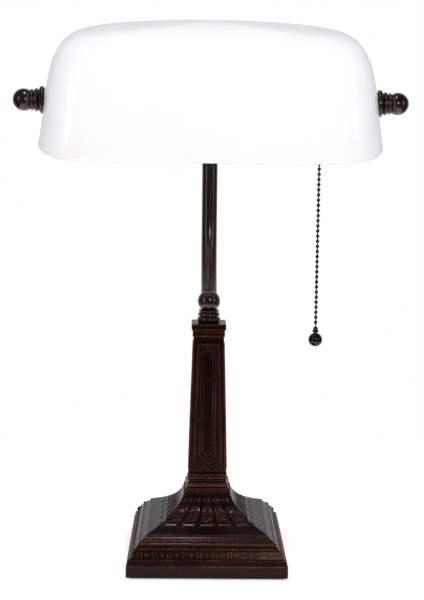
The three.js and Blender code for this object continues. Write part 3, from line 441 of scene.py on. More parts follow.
def refined(outline, step):
    """The same outline with extra points, so that no ring stands further than a step from the next."""
    points = [outline[0]]
    for (r0, z0), (r1, z1) in zip(outline, outline[1:]):
        parts = max(1, math.ceil(math.hypot(r1 - r0, z1 - z0) / step))
        for i in range(1, parts + 1):
            points.append((r0 + (r1 - r0) * i / parts, z0 + (z1 - z0) * i / parts))
    return points


def mark_wear(piece, gain=2.2, start=0.2, ornament=None, ornament_share=1.0, untouched=-1.0):
    """Stores how convex each point is past a start, which is where a polishing cloth takes the black off.

    Above the ornament's height the wear is weaker, because a cloth slides over fine relief. Below the
    untouched height there is none, because no cloth reaches there."""
    mesh = bmesh.new()
    mesh.from_mesh(piece.data)
    mesh.verts.ensure_lookup_table()
    bend = [0.0] * len(mesh.verts)
    for edge in mesh.edges:
        if len(edge.link_faces) == 2:
            angle = edge.calc_face_angle_signed(0.0)
            for vertex in edge.verts:
                bend[vertex.index] += angle / 2
    mesh.free()
    layer = piece.data.attributes.get("wear") or piece.data.attributes.new("wear", "FLOAT", "POINT")
    worn = [min(max(b * gain - start, 0.0), 1.0) for b in bend]
    if ornament is not None:
        for vertex in piece.data.vertices:
            if vertex.co.z > ornament * MM:
                worn[vertex.index] *= ornament_share
    for vertex in piece.data.vertices:
        if vertex.co.z < untouched * MM:
            worn[vertex.index] = 0.0
    layer.data.foreach_set("value", worn)


def mm_box(node):
    """A CAD node's box in millimetres: low corner, high corner."""
    low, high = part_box(node)
    return low / MM, high / MM


# %% [markdown]
# ## Base
#
# The base is one casting: a plain plinth, a cove, a narrow band of eggs and darts, two sharp ridges, and a
# flared foot that carries five broad leaves on each face. The steps are a square ring drawn up through the
# outline, and the flare gets a close mesh, ready for the leaves.

# %% Base casting
base_low, base_high = mm_box("base_casting")
column_low, column_high = mm_box("column_casting")
edge = base_high.x
foot = base_low.z
plinth = foot + 7.7  # the plinth's upper edge
TIER_Z = plinth + 16.7  # where the flare starts
FLARE_FOOT = edge - 12.3
FLARE_HEAD = 14.8
FLARE_EXPONENT = 2.5
LEAVES = 5
LEAF_SHARE = 0.96  # of the face's width that the leaves take
LEAF_FOOT, LEAF_TIP = 0.225, 0.9  # shares of the flare's height
flare_height = base_high.z - TIER_Z


def flare_half(z):
    """Half-width of the flared foot at a height."""
    up = (z - TIER_Z) / flare_height
    return FLARE_HEAD + (FLARE_FOOT - FLARE_HEAD) * (1 - up) ** FLARE_EXPONENT


steps = [
    (POLE / MM, foot), (edge, foot), (edge, plinth), (edge - 0.5, plinth + 0.4), (edge - 0.6, plinth + 1.1),
    (edge - 1, plinth + 3.5), (edge - 1.9, plinth + 3.7), (edge - 2.6, plinth + 3.9),
    (edge - 5.2, plinth + 8.9), (edge - 5.0, plinth + 9.2), (edge - 5.2, plinth + 9.8),
    (edge - 6.0, plinth + 9.9), (edge - 7.1, plinth + 11.3), (edge - 6.9, plinth + 12.3),
    (edge - 7.4, plinth + 12.8), (edge - 8.4, plinth + 12.8), (edge - 10.4, plinth + 14.3),
    (edge - 12.0, plinth + 15.5), (edge - 12.1, plinth + 16.3), (FLARE_FOOT, TIER_Z),
]
FLARE_RINGS = 84
flare_heights = [TIER_Z + flare_height * (i / FLARE_RINGS) ** 1.5 for i in range(1, FLARE_RINGS + 1)]
flare = [(flare_half(z), z) for z in flare_heights]
outline = refined(steps, 1.1) + flare + [(POLE / MM, base_high.z)]
begin("square", 100, (outline[0][0] * MM, 0, outline[0][1] * MM))
draw_up([(half * MM, half * MM, z * MM) for half, z in outline])
close_up()
base = bpy.context.object


# %% [markdown]
# ## Leaves
#
# The leaves are cast with the base. They can't be extruded, so the points of the flare are pushed out along
# their normals, as a chaser works metal from behind. Sculpting would make each leaf by hand; a formula
# makes them all alike: a body with a raised rim, veins that fan out from its foot, a lip below it and a
# groove on either side.

# %% Leaves
def step_up(value):
    """A smooth step from 0 to 1."""
    value = min(max(value, 0), 1)
    return value * value * (3 - 2 * value)


def leaf_relief(across, z):
    """Height of the leaf pattern in millimetres, at a share across the face and a height."""
    up = (z - TIER_Z) / flare_height
    if abs(across) > LEAF_SHARE:
        return 0.0
    place = (across / LEAF_SHARE + 1) / 2 * LEAVES
    side = 2 * (place % 1) - 1
    along = (up - LEAF_FOOT) / (LEAF_TIP - LEAF_FOOT)
    lip = 0.45 * math.exp(-((up - 0.17) / 0.02) ** 2) * step_up((0.8 - abs(side)) / 0.1)
    if not -0.02 < along < 1.02:
        return lip
    body = step_up((0.9 - abs(side)) / 0.14) * step_up(along / 0.05)
    body *= step_up((1 - 0.16 * side ** 2 - along) / 0.05)
    rim = 0.15 * math.exp(-((abs(side) - 0.74) / 0.09) ** 2)
    crown = 0.5 + 0.25 * (1 - side ** 2)
    fan = math.atan2(side, 1.5 * along + 0.3)
    vein = 0.13 * math.cos(2 * math.pi * 3.5 * fan) * step_up((0.7 - abs(side)) / 0.2)
    vein *= step_up((0.55 - along) / 0.3)
    between = step_up(along / 0.04) * step_up((1 - along) / 0.04)
    return body * (crown + rim + vein) + lip - 0.65 * (1 - body) * between


base.data.update()
pushes = []
for vertex in base.data.vertices:
    x, y, z = vertex.co / MM
    half = max(abs(x), abs(y))
    if z <= TIER_Z + 0.5 or half < FLARE_HEAD - 0.5:
        continue
    across = (x if abs(y) > abs(x) else y) / half
    push = leaf_relief(across, z)
    if push:
        pushes.append((vertex.index, vertex.normal * push * MM))
for index, move in pushes:
    base.data.vertices[index].co += move
soften(base, 0.3, angle=38)
mark_wear(base, gain=1.8, ornament=TIER_Z + 0.6, ornament_share=0.4, untouched=foot + 5)
smooth(base, 50)
finish_piece(base, "base_with_leaves", "base_casting")
print("base:", len(base.data.polygons), "faces,", len(pushes), "points pushed out")

# %% [markdown]
# ## Eggs and darts
#
# This old moulding pattern is a row of eggs, each in its rim, with a pair of bars between neighbours. It
# stands too proud for points to be pushed out, so one egg, one rim and one pair of bars are made as solids.
# An array repeats them along one side, and the side is copied round the base.

# %% Eggs and darts
EGG_GAPS = 10  # from the egg at one corner to the egg at the next
band_mid = edge - 3.8
band_z = plinth + 6.3
band_lean = math.atan2(2.6, 5.0)
egg_pitch = 2 * band_mid / EGG_GAPS


def ornament(kind, x, size, **shape):
    """One ball or ring of the band, at a place along it, stretched to a size in millimetres."""
    bpy.ops.object.select_all(action="DESELECT")
    kind(location=(x * MM, 0, 0), **shape)
    made = bpy.context.object
    made.scale = [side * MM for side in size]
    bpy.ops.object.transform_apply(location=True, rotation=True, scale=True)
    return made


def repeated(piece, start, count):
    """A row of copies along the band, the first at a place along it."""
    settle(piece, rotation=(-band_lean, 0, 0))
    if count > 1:
        apply_modifier(piece, "ARRAY", count=count, use_relative_offset=False, use_constant_offset=True,
                       constant_offset_displace=(egg_pitch * MM, 0, 0))
    settle(piece, location=(start * MM, -band_mid * MM, band_z * MM))
    return piece


def merged(pieces):
    """Joins pieces into the first of them."""
    bpy.ops.object.select_all(action="DESELECT")
    for one in pieces:
        one.select_set(True)
    bpy.context.view_layer.objects.active = pieces[0]
    bpy.ops.object.join()
    return pieces[0]


ball_add = bpy.ops.mesh.primitive_uv_sphere_add
ring_add = bpy.ops.mesh.primitive_torus_add
egg = ornament(ball_add, 0, (1.1, 0.75, 1.5), segments=14, ring_count=10, radius=1)
rim = ornament(ring_add, 0, (1.75, 0.8, 2.1), major_segments=20, minor_segments=6, major_radius=0.88,
               minor_radius=0.13, rotation=(math.pi / 2, 0, 0))
darts = [ornament(ball_add, x, (0.5, 0.6, 2.1), segments=8, ring_count=8, radius=1) for x in (-1.15, 1.15)]
corner = ornament(ball_add, 0, (1.5, 1.5, 2.0), segments=14, ring_count=10, radius=1)
side_row = merged([
    repeated(merged([egg, rim]), egg_pitch - band_mid, EGG_GAPS - 1),
    repeated(merged(darts), egg_pitch / 2 - band_mid, EGG_GAPS),
    repeated(corner, 0.6 - band_mid, 1),
])
rows = [side_row]
for quarter in (1, 2, 3):
    pick(side_row)
    bpy.ops.object.duplicate()
    copy = bpy.context.object
    settle(copy, rotation=(0, 0, quarter * math.pi / 2))
    rows.append(copy)
band = merged(rows)
smooth(band, 60)
mark_wear(band, gain=0.9, start=0.1)
finish_piece(band, "egg_and_dart_band", "base_casting")
print("eggs on each side:", EGG_GAPS)

# %% [markdown]
# ## Column
#
# The column is one tapered casting, from a rounded foot moulding to a two-step capital. It could be built
# from boxes, but a square ring drawn up through one outline keeps every moulding mitred at the corners.

# %% Column casting
column_foot, column_head = column_low.z, column_high.z
SHAFT_FOOT, SHAFT_HEAD = 12.75, 10.1
shaft_bottom, shaft_top = column_foot + 9.4, column_head - 10.2
moulding = column_high.x
cap = 11.4  # half the capital's width
steps = [
    (POLE / MM, column_foot), (moulding - 1.0, column_foot), (moulding - 0.3, column_foot + 0.3),
    (moulding, column_foot + 1), (moulding, column_foot + 2.2), (moulding - 0.4, column_foot + 3.0),
    (moulding - 1.3, column_foot + 3.4), (moulding - 1.5, column_foot + 4.4),
    (moulding - 1.2, column_foot + 5.4), (moulding - 0.6, column_foot + 5.8),
    (moulding - 0.6, column_foot + 6.8), (moulding - 1.1, column_foot + 7.1),
    (moulding - 1.1, column_foot + 7.6), (moulding - 0.7, column_foot + 7.9),
    (moulding - 0.7, column_foot + 8.7), (SHAFT_FOOT, shaft_bottom), (SHAFT_HEAD, shaft_top),
    (SHAFT_HEAD, shaft_top + 1.6), (cap - 0.7, column_head - 8.2), (cap - 0.7, column_head - 5.2),
    (cap - 1.1, column_head - 4.9), (cap - 1.1, column_head - 4.4), (cap - 0.5, column_head - 4.2),
    (cap, column_head - 3.6), (cap, column_head), (POLE / MM, column_head),
]
outline = refined(steps, 1.6)
begin("square", 16, (outline[0][0] * MM, 0, outline[0][1] * MM))
draw_up([(half * MM, half * MM, z * MM) for half, z in outline])
close_up()
column = bpy.context.object
soften(column, 0.35, angle=38)
mark_wear(column, gain=2.0, start=0.35)
smooth(column, 50)
finish_piece(column, "column_shaft", "column_casting")
print("column:", len(column.data.polygons), "faces")

# %% [markdown]
# ## Borders on the column
#
# Each face has two nested rectangles in relief, and inside them two nested borders with a pointed foot and
# a round head. They are round wires laid on the leaning faces, half sunk, the way a pattern maker glues
# beading to a wooden pattern. A line with a round bevel is the shortest way to make such a wire.

# %% Borders on the column
def shaft_half(z):
    """Half-width of the shaft at a height."""
    return SHAFT_FOOT + (SHAFT_HEAD - SHAFT_FOOT) * (z - shaft_bottom) / (shaft_top - shaft_bottom)


def rectangle(side, end):
    """A panel that keeps these distances from the shaft's sides and ends."""
    low, high = shaft_bottom + end, shaft_top - end
    return [(-(shaft_half(low) - side), low), (shaft_half(low) - side, low),
            (shaft_half(high) - side, high), (-(shaft_half(high) - side), high)]


def arched(half_low, half_high, point_z, shoulder_z, top_z):
    """A long panel with a pointed foot and a round head."""
    spring_z = top_z - half_high
    head = [(half_high * math.cos(math.radians(a)), spring_z + half_high * math.sin(math.radians(a)))
            for a in range(0, 181, 15)]
    return [(0, point_z), (half_low, shoulder_z)] + head + [(-half_low, shoulder_z)]


def border(outline, radius, turns):
    """A closed round wire laid half sunk on one leaning face of the column."""
    curve = bpy.data.curves.new("border", "CURVE")
    curve.dimensions = "3D"
    curve.bevel_depth = radius * MM
    curve.bevel_resolution = 2
    line = curve.splines.new("POLY")
    line.points.add(len(outline) - 1)
    for point, (x, z) in zip(line.points, outline):
        point.co = (x * MM, -shaft_half(z) * MM, z * MM, 1)
    line.use_cyclic_u = True
    wire = bpy.data.objects.new("border", curve)
    bpy.context.collection.objects.link(wire)
    pick(wire)
    bpy.ops.object.convert(target="MESH")
    settle(wire, rotation=(0, 0, turns * math.pi / 2))
    return wire


BORDERS = [
    (rectangle(3.2, 3.2), 0.5),
    (rectangle(4.5, 4.4), 0.3),
    (arched(5.2, 4.6, shaft_bottom + 8.0, shaft_bottom + 13.5, shaft_top - 5.4), 0.5),
    (arched(3.5, 2.8, shaft_bottom + 12.0, shaft_bottom + 15.5, shaft_top - 7.6), 0.45),
]
wires = [border(outline, radius, turns) for turns in range(4) for outline, radius in BORDERS]
print("borders:", len(wires))
borders = merged(wires)
smooth(borders, 50)
mark_wear(borders, gain=0.38, start=0.08)
finish_piece(borders, "column_borders", "column_casting")

# %% [markdown]
# ## Collar
#
# The collar is turned brass under dark lacquer: three rounded rings, each a little smaller than the one
# below. It is drawn up from one outline, as on a lathe, so the grooves between the rings stay sharp.

# %% Collar
def rounded_ring(inner, out, middle, half, start, step):
    """A rounded ring on the collar, which stands out from an inner radius about a middle height."""
    turns = [math.radians(a) for a in range(start, 181 - start, step)]
    return [(inner + out * math.sin(t), middle - half * math.cos(t)) for t in turns]


low, high = mm_box("collar")
outer, z, top = high.x, low.z, high.z
collar = turned([
    (5.3, z), (outer - 0.7, z), *rounded_ring(outer - 1.3, 1.3, z + 1.95, 1.75, 30, 15),
    (outer - 1.5, z + 4.05), *rounded_ring(outer - 1.65, 1.2, z + 5.4, 1.1, 20, 20),
    (outer - 1.9, z + 6.85), *rounded_ring(outer - 2.1, 1.2, z + 7.75, 0.75, 30, 30),
    (5.5, top - 0.3), (4.6, top), (3.9, top), (3.9, z), (5.3, z),
], soften_by=0.08)
finish_piece(collar, "turned_collar", "collar")
print("collar, mm across:", round(2 * outer, 1))

# %% [markdown]
# ## Ball
#
# The ball carries the arm. It is turned as well, so its outline is an arc for the ball and a short neck
# that stands in the collar.

# %% Ball
low, high = mm_box("arm_ball")
radius = high.x
centre = high.z - radius
ball_neck = [(4.0, centre - 4.7), (3.6, centre - 5.2), (3.6, low.z), (0, low.z)]
ball = turned(arc(radius, centre, 0, 128, 32) + ball_neck, soften_by=0.1)
finish_piece(ball, "turned_ball", "arm_ball")
print("ball, mm across:", round(2 * radius, 1))

# %% [markdown]
# ## Arm tube
#
# The arm is a brass tube that leaves the ball backwards and bends upright. A fitter bends it round a former
# so that its section stays round. A circle swept along a line and an arc does the same, where a bent mesh
# would pinch.

# %% Arm tube
tube_high = mm_box("arm_tube")[1]
tube_radius = tube_high.x
reach = tube_high.y - tube_radius
LEAN = math.radians(55)  # of the stretch that leaves the ball, from upright
STRAIGHT = radius + 3  # from the ball's centre to the bend
start = Vector((0, math.sin(LEAN), math.cos(LEAN)))
bend_from = Vector((0, 0, centre)) + start * STRAIGHT
bend_radius = (reach - bend_from.y) / (1 - math.cos(LEAN))
bend_z = bend_from.z + bend_radius * math.sin(LEAN)
BEND_STEPS = 40
route = [Vector((0, 0, centre)) + start * (radius - 1.2), bend_from]
for i in range(1, BEND_STEPS + 1):
    left = LEAN * (1 - i / BEND_STEPS)
    y = reach - bend_radius * (1 - math.cos(left))
    route.append(Vector((0, y, bend_z - bend_radius * math.sin(left))))
route += [Vector((0, reach, bend_z + (tube_high.z - bend_z) * i / 12)) for i in range(1, 13)]
curve = bpy.data.curves.new("arm", "CURVE")
curve.dimensions = "3D"
curve.bevel_depth = tube_radius * MM
curve.bevel_resolution = 14
curve.use_fill_caps = True
line = curve.splines.new("POLY")
line.points.add(len(route) - 1)
for point, place in zip(line.points, route):
    point.co = (*(place * MM), 1)
arm = bpy.data.objects.new("arm", curve)
bpy.context.collection.objects.link(arm)
pick(arm)
bpy.ops.object.convert(target="MESH")
smooth(arm)
finish_piece(arm, "bent_arm", "arm_tube")
print("arm bend radius, mm:", round(bend_radius, 1))

# %% [markdown]
# ## Glass shade
#
# Opal glass blown into a mould: long, soft-cornered in plan, steep sided with a round shoulder and a slight
# crown. The first ring is a circle whose points are moved onto the plan's outline, and it is drawn up the
# outside from the crown to the rim, over a rounded lip, and back up the inside, so that the wall is real.

# %% Glass
glass_high = mm_box("glass_shade")[1]
tilt_joint = next(joint for joint in frame["joints"] if joint["name"] == "shade_tilt")
pivot = Vector(tilt_joint["pos_m"]) / MM
REST_TILT = math.radians(14)
HALF_LENGTH = glass_high.x
HALF_DEPTH = 62
HEIGHT = 77
WALL = 4
PIVOT_ABOVE_RIM = 25.5
PLAN_LONG, PLAN_DEEP, DEPTH_EXPONENT = 8, 2.5, 2.2
END_LINE = [(1, 0), (0.971, 0.25), (0.943, 0.5), (0.903, 0.71), (0.83, 0.855), (0.7, 0.925), (0.4, 0.97),
            (0, 1)]


def end_line(share):
    """Ridge line seen from the front: share of the half-length and of the height, on a smooth curve."""
    place = share * (len(END_LINE) - 1)
    i = min(int(place), len(END_LINE) - 2)
    t = place - i
    around = [END_LINE[max(min(k, len(END_LINE) - 1), 0)] for k in (i - 1, i, i + 1, i + 2)]
    mixed = []
    if i == len(END_LINE) - 2:
        across, up = END_LINE[i]
        around[3] = (-across, up)  # the crown goes on evenly down the other side
    for a, b, c, d in zip(*around):
        mixed.append(0.5 * (2 * b + (c - a) * t + (2 * a - 5 * b + 4 * c - d) * t ** 2
                            + (3 * b - a - 3 * c + d) * t ** 3))
    return mixed


def glass_ring(share, inset):
    """One ring of the glass at a share of the ridge line, inside its outer face by an inset."""
    across, up = end_line(share)
    deep = max(1 - up ** DEPTH_EXPONENT, 0) ** (1 / DEPTH_EXPONENT)
    return (max((HALF_LENGTH - inset) * across * MM, POLE), max((HALF_DEPTH - inset) * deep * MM, POLE),
            ((HEIGHT - inset) * up - PIVOT_ABOVE_RIM) * MM)


GLASS_RINGS = 72
eased = [math.sin(i / GLASS_RINGS * math.pi / 2) ** 0.75 for i in range(GLASS_RINGS, 0, -1)]
lip = WALL / 2
rim = []
for i in range(9):
    a = math.pi * i / 8
    inset = lip - lip * math.cos(a)
    rim.append(((HALF_LENGTH - inset) * MM, (HALF_DEPTH - inset) * MM,
                (lip - lip * math.sin(a) - PIVOT_ABOVE_RIM) * MM))
rings = [glass_ring(s, 0) for s in eased] + rim + [glass_ring(s, WALL) for s in reversed(eased)]
GLASS_SIDES = 192
bpy.ops.object.select_all(action="DESELECT")
bpy.ops.mesh.primitive_circle_add(vertices=GLASS_SIDES, radius=1, location=(0, 0, 0))
glass = bpy.context.object
for vertex in glass.data.vertices:
    x, y = vertex.co.x, vertex.co.y
    # Each point keeps its turn about the middle and is moved out onto the soft-cornered plan.
    turn = math.atan2(y, x)
    c, s = math.cos(turn), math.sin(turn)
    reach_x = math.copysign(abs(c) ** (2 / PLAN_LONG) if abs(c) > 1e-6 else 0, c)
    reach_y = math.copysign(abs(s) ** (2 / PLAN_DEEP) if abs(s) > 1e-6 else 0, s)
    vertex.co = (reach_x * rings[0][0], reach_y * rings[0][1], rings[0][2])
bpy.ops.object.mode_set(mode="EDIT")
bpy.ops.mesh.select_all(action="SELECT")
draw_up(rings)
close_up()
print("glass:", len(glass.data.polygons), "faces")

# %% [markdown]
# ## Seats and holes for the knobs
#
# At each end the glass leans, so it has a flat seat on both faces where the washers sit, and a hole for the
# stud. Booleans with plain cylinders do what the mould, the grinder and the drill do: a seat is added, its
# two faces are cut flat and the hole goes through.

# %% Seats and holes for the knobs
knob_low, knob_high = mm_box("knob_right")
seat_outer = mm_box("outer_washer_right")[0].x - 0.3
seat_inner = mm_box("inner_washer_right")[1].x + 0.3
SEAT, FACED, HOLE = 8.4, 9.2, 4.6  # radii of the seat, of the cut that flattens it and of the stud's hole


def cutter(radius, x_from, x_to):
    """A cylinder along X between two places."""
    bpy.ops.object.select_all(action="DESELECT")
    middle = (x_from + x_to) / 2 * MM
    bpy.ops.mesh.primitive_cylinder_add(vertices=64, radius=radius * MM, depth=abs(x_to - x_from) * MM,
                                        location=(middle, 0, 0), rotation=(0, math.pi / 2, 0))
    tool = bpy.context.object
    settle(tool, location=tool.location.copy(), rotation=tool.rotation_euler.copy())
    return tool


for side in (1, -1):
    for tool_radius, x_from, x_to, action in [
        (SEAT, seat_inner, seat_outer, "UNION"),
        (FACED, seat_outer, seat_outer + 6, "DIFFERENCE"),
        (FACED, seat_inner - 6, seat_inner, "DIFFERENCE"),
        (HOLE, seat_inner - 2, seat_outer + 2, "DIFFERENCE"),
    ]:
        tool = cutter(tool_radius, side * x_from, side * x_to)
        apply_modifier(glass, "BOOLEAN", object=tool, operation=action, solver="EXACT")
        bpy.data.objects.remove(tool)
smooth(glass, 35)
settle(glass, location=pivot * MM, rotation=(REST_TILT, 0, 0))
finish_piece(glass, "opal_shade", "glass_shade")
print("seat thickness, mm:", round(seat_outer - seat_inner, 2))

# %% [markdown]
# ## Knobs
#
# Each end of the shade is held by a turned knob: a flange against the glass, two thin rings and a ball.
# They are drawn up on the lathe standing on end and then laid along the lamp's X axis.

# %% Knobs
length = knob_high.x - knob_low.x
flange = knob_high.z - pivot.z
BALL = 7.2  # radius of the knob's end


def bulge(inner, outer, low, high, steps=6):
    """A rounded ring on a turned piece, between two heights."""
    middle, half = (low + high) / 2, (high - low) / 2
    turns = [math.pi * i / steps for i in range(steps + 1)]
    return [(inner + (outer - inner) * math.sin(t) ** 0.8, middle - half * math.cos(t)) for t in turns]


knob_outline = [
    (3.3, 0), (flange - 0.5, 0), (flange, 0.5), (flange, 1.9), (flange - 0.5, 2.5), (7.2, 3.1), (6.6, 3.6),
    *bulge(6.4, 7.5, 3.8, 6.0), (6.2, 6.6), *bulge(6.1, 6.9, 7.0, 8.8), (5.7, 9.3),
    *reversed(arc(BALL, length - BALL, 0, 125, 28)),
]
for side, name in ((1, "right"), (-1, "left")):
    knob = turned(knob_outline, sides=72, soften_by=0.1)
    settle(knob, location=(side * knob_low.x * MM, 0, pivot.z * MM), rotation=(0, side * math.pi / 2, 0))
    finish_piece(knob, f"turned_knob_{name}", f"knob_{name}")
print("knob length, mm:", round(length, 1))

# %% [markdown]
# ## Bead chain
#
# Bead chain is a row of hollow steel balls, each rolled round the heads of short pins. One ball and its pin
# are made, and an array repeats them down the chain. The bell at its end closes on the last ball and holds
# the pull.

# %% Chain
BEAD, PITCH, PIN = 1.2, 3.39, 0.45  # radius of a bead, from bead to bead, radius of the pins


def beads(name, node, first_z, count, tail_z):
    """A run of beads downwards from a height, on one pin."""
    x = sum(corner.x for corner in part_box(node)) / 2 / MM
    bpy.ops.object.select_all(action="DESELECT")
    bpy.ops.mesh.primitive_uv_sphere_add(segments=20, ring_count=12, radius=BEAD * MM, location=(0, 0, 0))
    bead = bpy.context.object
    if count > 1:
        apply_modifier(bead, "ARRAY", count=count, use_relative_offset=False, use_constant_offset=True,
                       constant_offset_displace=(0, 0, -PITCH * MM))
    settle(bead, location=(x * MM, 0, first_z * MM))
    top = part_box(node)[1].z / MM
    bpy.ops.mesh.primitive_cylinder_add(vertices=12, radius=PIN * MM, depth=(top - tail_z) * MM,
                                        location=(x * MM, 0, (top + tail_z) / 2 * MM))
    pin = bpy.context.object
    settle(pin, location=pin.location.copy())
    run = merged([bead, pin])
    smooth(run, 60)
    finish_piece(run, name, node)


chain_foot = mm_box("pull_chain")[0].z
link_z = mm_box("chain_link")[0].z + BEAD
count = round((link_z - chain_foot) / PITCH - 1)
beads("bead_chain", "pull_chain", link_z - PITCH, count, chain_foot)
beads("first_bead", "chain_link", link_z, 1, link_z)
print("beads:", count)

# %% [markdown]
# ## Chain stem, bell and end ball
#
# The stem hooks the chain to the switch, the bell grips the last bead, and the ball is what a hand finds in
# the dark. All three are small lathe work, so each is one outline drawn up.

# %% Chain stem, bell and end ball
stem_low, stem_high = mm_box("chain_stem")
swing_z = stem_low.z + BEAD
top_radius = (stem_high.x - stem_low.x) / 2
stem_x = (stem_high.x + stem_low.x) / 2
stem = turned([(0, stem_low.z), *reversed(arc(BEAD, swing_z, 36, 178, 12)), (0.7, swing_z + 1.0),
               *reversed(arc(top_radius, stem_high.z - top_radius, 0, 160, 16))], sides=24, soften_by=0)
settle(stem, location=(stem_x * MM, 0, 0))
finish_piece(stem, "stem_and_beads", "chain_stem")

bell_low, bell_high = mm_box("chain_bell")
wide = (bell_high.x - bell_low.x) / 2
z, top = bell_low.z, bell_high.z
bell = turned([(0, z), (wide * 0.8, z), (wide, z + 0.35), (wide, z + 0.9), (wide * 0.86, z + 1.1),
               (wide * 0.8, z + 1.9), (wide * 0.66, top - 0.8), (wide * 0.5, top - 0.2), (wide * 0.35, top),
               (0, top)], sides=40, soften_by=0.06)
settle(bell, location=(stem_x * MM, 0, 0))
finish_piece(bell, "chain_end_bell", "chain_bell")

ball_low, ball_high = mm_box("chain_ball")
pull_radius = (ball_high.x - ball_low.x) / 2
pull = turned(list(reversed(arc(pull_radius, ball_low.z + pull_radius, 0, 180, 36))), sides=64, soften_by=0)
settle(pull, location=(stem_x * MM, 0, 0))
finish_piece(pull, "pull_ball", "chain_ball")
print("pull ball, mm across:", round(2 * pull_radius, 1))

# %% [markdown]
# ## Fittings under the glass
#
# Nobody sees these unless they look up under the shade: the spun brass socket with its card sleeve and
# screw shell, and the bulb. They are round about one line, so each is turned from an outline and laid along
# X. The threads are the same outline with a wave in it, which at this size reads as a rolled thread.

# %% Socket, sleeve and bulb
def turned_along_x(name, node, outline, sides=64, soften_by=0.1):
    """A turned piece laid along X: the outline's heights are X places."""
    piece = turned(outline, sides=sides, soften_by=soften_by)
    settle(piece, location=(0, 0, pivot.z * MM), rotation=(0, math.pi / 2, 0))
    return finish_piece(piece, name, node)


THREAD = 3.6  # from crest to crest


def thread_wave(radius, depth, first, pitch, turns):
    """The outline of a rolled thread: a wave of a depth about a radius, from crest to crest."""
    return [(radius + depth * math.cos(2 * math.pi * i / 8), first + pitch * i / 8)
            for i in range(8 * turns + 1)]


low, high = mm_box("socket_shell")
wide = high.y
bead_at = [(wide + 0.25 * math.sin(math.pi * i / 6), low.x + 6 + 2 * i / 6) for i in range(7)]
turned_along_x("spun_socket_shell", "socket_shell",
               [(wide - 0.8, low.x), (wide, low.x), *bead_at, (wide, high.x), (wide - 0.8, high.x),
                (wide - 0.8, low.x)])
low, high = mm_box("insulating_sleeve")
wide = high.y
turned_along_x("card_sleeve", "insulating_sleeve",
               [(wide - 0.6, low.x), (wide, low.x), (wide, high.x), (wide - 0.6, high.x),
                (wide - 0.6, low.x)])
low, high = mm_box("screw_shell")
wide = high.y
turns = int((high.x - low.x) / THREAD)
thread = thread_wave(wide - 0.35, 0.35, low.x, (high.x - low.x) / turns, turns)
inside = [(across - 0.4, x) for across, x in reversed(thread)]
turned_along_x("rolled_screw_shell", "screw_shell", thread + inside + [thread[0]], soften_by=0)
low, high = mm_box("bulb_cap")
wide = high.y
turns = int((high.x - low.x - 5) / THREAD)
thread = thread_wave(wide - 0.4, -0.4, low.x + 1, THREAD, turns)
turned_along_x("bulb_screw_cap", "bulb_cap",
               [(0, low.x), (wide - 0.5, low.x), *thread, (wide - 1.2, high.x - 3.5), (5.2, high.x),
                (0, high.x)], soften_by=0)
low, high = mm_box("bulb_glass")
wide = high.y
neck = 12.4
dome = [(across, low.x + wide - x) for across, x in arc(wide, 0, 0, 90, 24)]
shoulder = [(neck + (wide - neck) * (0.5 + 0.5 * math.cos(math.pi * i / 10)), high.x - 14 + 9 * i / 10)
            for i in range(11)]
turned_along_x("frosted_bulb", "bulb_glass",
               dome + shoulder + [(neck, high.x - 2), (neck - 0.4, high.x), (neck - 0.8, high.x),
                                  (neck - 0.8, high.x - 5), (0, high.x - 6)], soften_by=0)
low, high = mm_box("socket_cap")
wide = high.y
cap_outline = [(wide - 0.9, low.x), (wide, low.x), (wide, low.x + 1.0), (wide - 0.35, low.x + 1.3),
               (wide - 0.35, low.x + 2.0), (wide, low.x + 2.3), (wide, high.x - 6)]
for degrees in range(10, 91, 10):
    a = math.radians(degrees)
    cap_outline.append((wide - 8.7 * (1 - math.cos(a)), high.x - 6 + 6 * math.sin(a)))
cap_outline += [(5.2, high.x), (5.2, high.x - 3), (wide - 6, high.x - 3), (wide - 0.9, high.x - 7),
                (wide - 0.9, low.x)]
turned_along_x("spun_socket_cap", "socket_cap", cap_outline, soften_by=0.06)
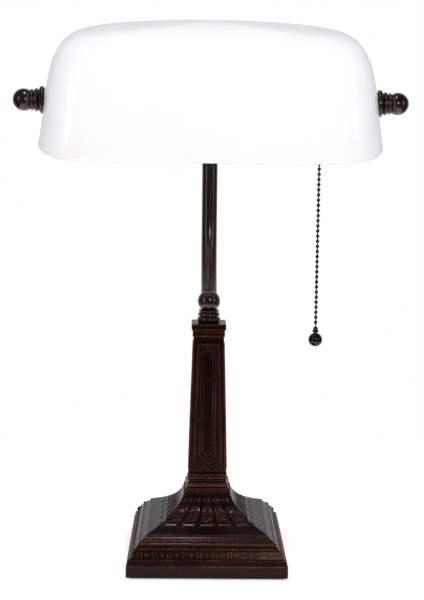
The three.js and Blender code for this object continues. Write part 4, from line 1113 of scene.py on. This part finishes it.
print("socket across, mm:", round(2 * wide, 1))

# %% [markdown]
# ## Chain guide
#
# A small bell mouth under the socket keeps the chain off a sharp edge when it is pulled aside. It could be
# bent from sheet, but one turned outline with a rolled lip gives the same piece.

# %% Chain guide
low, high = mm_box("chain_guide")
z, top = low.z, high.z
guide = turned([(1.9, z + 0.9), (2.6, z + 0.2), (3.6, z), (4.6, z), (5.0, z + 0.5), (4.7, z + 1.2),
                (3.9, z + 2.4), (3.4, z + 3.6), (3.4, top), (1.9, top), (1.9, z + 0.9)],
               sides=48, soften_by=0.06)
settle(guide, location=(stem_x * MM, 0, 0))
finish_piece(guide, "chain_bell_mouth", "chain_guide")
print("chain guide, mm long:", round(top - z, 1))

# %% [markdown]
# ## Pieces that keep their CAD shape
#
# The strap, the nuts and washers, the switch and the weight sit out of sight or nearly so, and the CAD
# model has their true shape already. Modelling them again would add nothing, so each is copied, merged and
# given broken edges. The lead and the spring are round wire with no edges to break, and stay as they are.

# %% Pieces that keep their CAD shape
def broken_edges(node, width):
    """A merged copy of a CAD piece with its sharp edges broken by a width in millimetres."""
    piece = bpy.data.objects.new(node, frame["nodes"][node].data.copy())
    bpy.context.collection.objects.link(piece)
    pick(piece)
    bpy.ops.object.mode_set(mode="EDIT")
    bpy.ops.mesh.select_all(action="SELECT")
    bpy.ops.mesh.remove_doubles(threshold=0.001 * MM)
    bpy.ops.mesh.dissolve_limited(angle_limit=math.radians(1))
    bpy.ops.object.mode_set(mode="OBJECT")
    soften(piece, width, angle=35)
    smooth(piece, 40)
    return finish_piece(piece, f"{node}_finished", node)


replaced = set()
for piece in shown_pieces():
    replaced.update(piece.get("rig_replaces", []))
WIRES = ("lamp_lead", "return_spring")
for node in frame["nodes"]:
    if node in replaced:
        continue
    if node in WIRES:
        shown = frame["nodes"][node]
        shown.data.materials.clear()
        shown.data.materials.append(FINISHES[slot_of[node]])
    else:
        broken_edges(node, 0.2)
print("pieces with broken edges:", len(frame["nodes"]) - len(replaced) - len(WIRES))
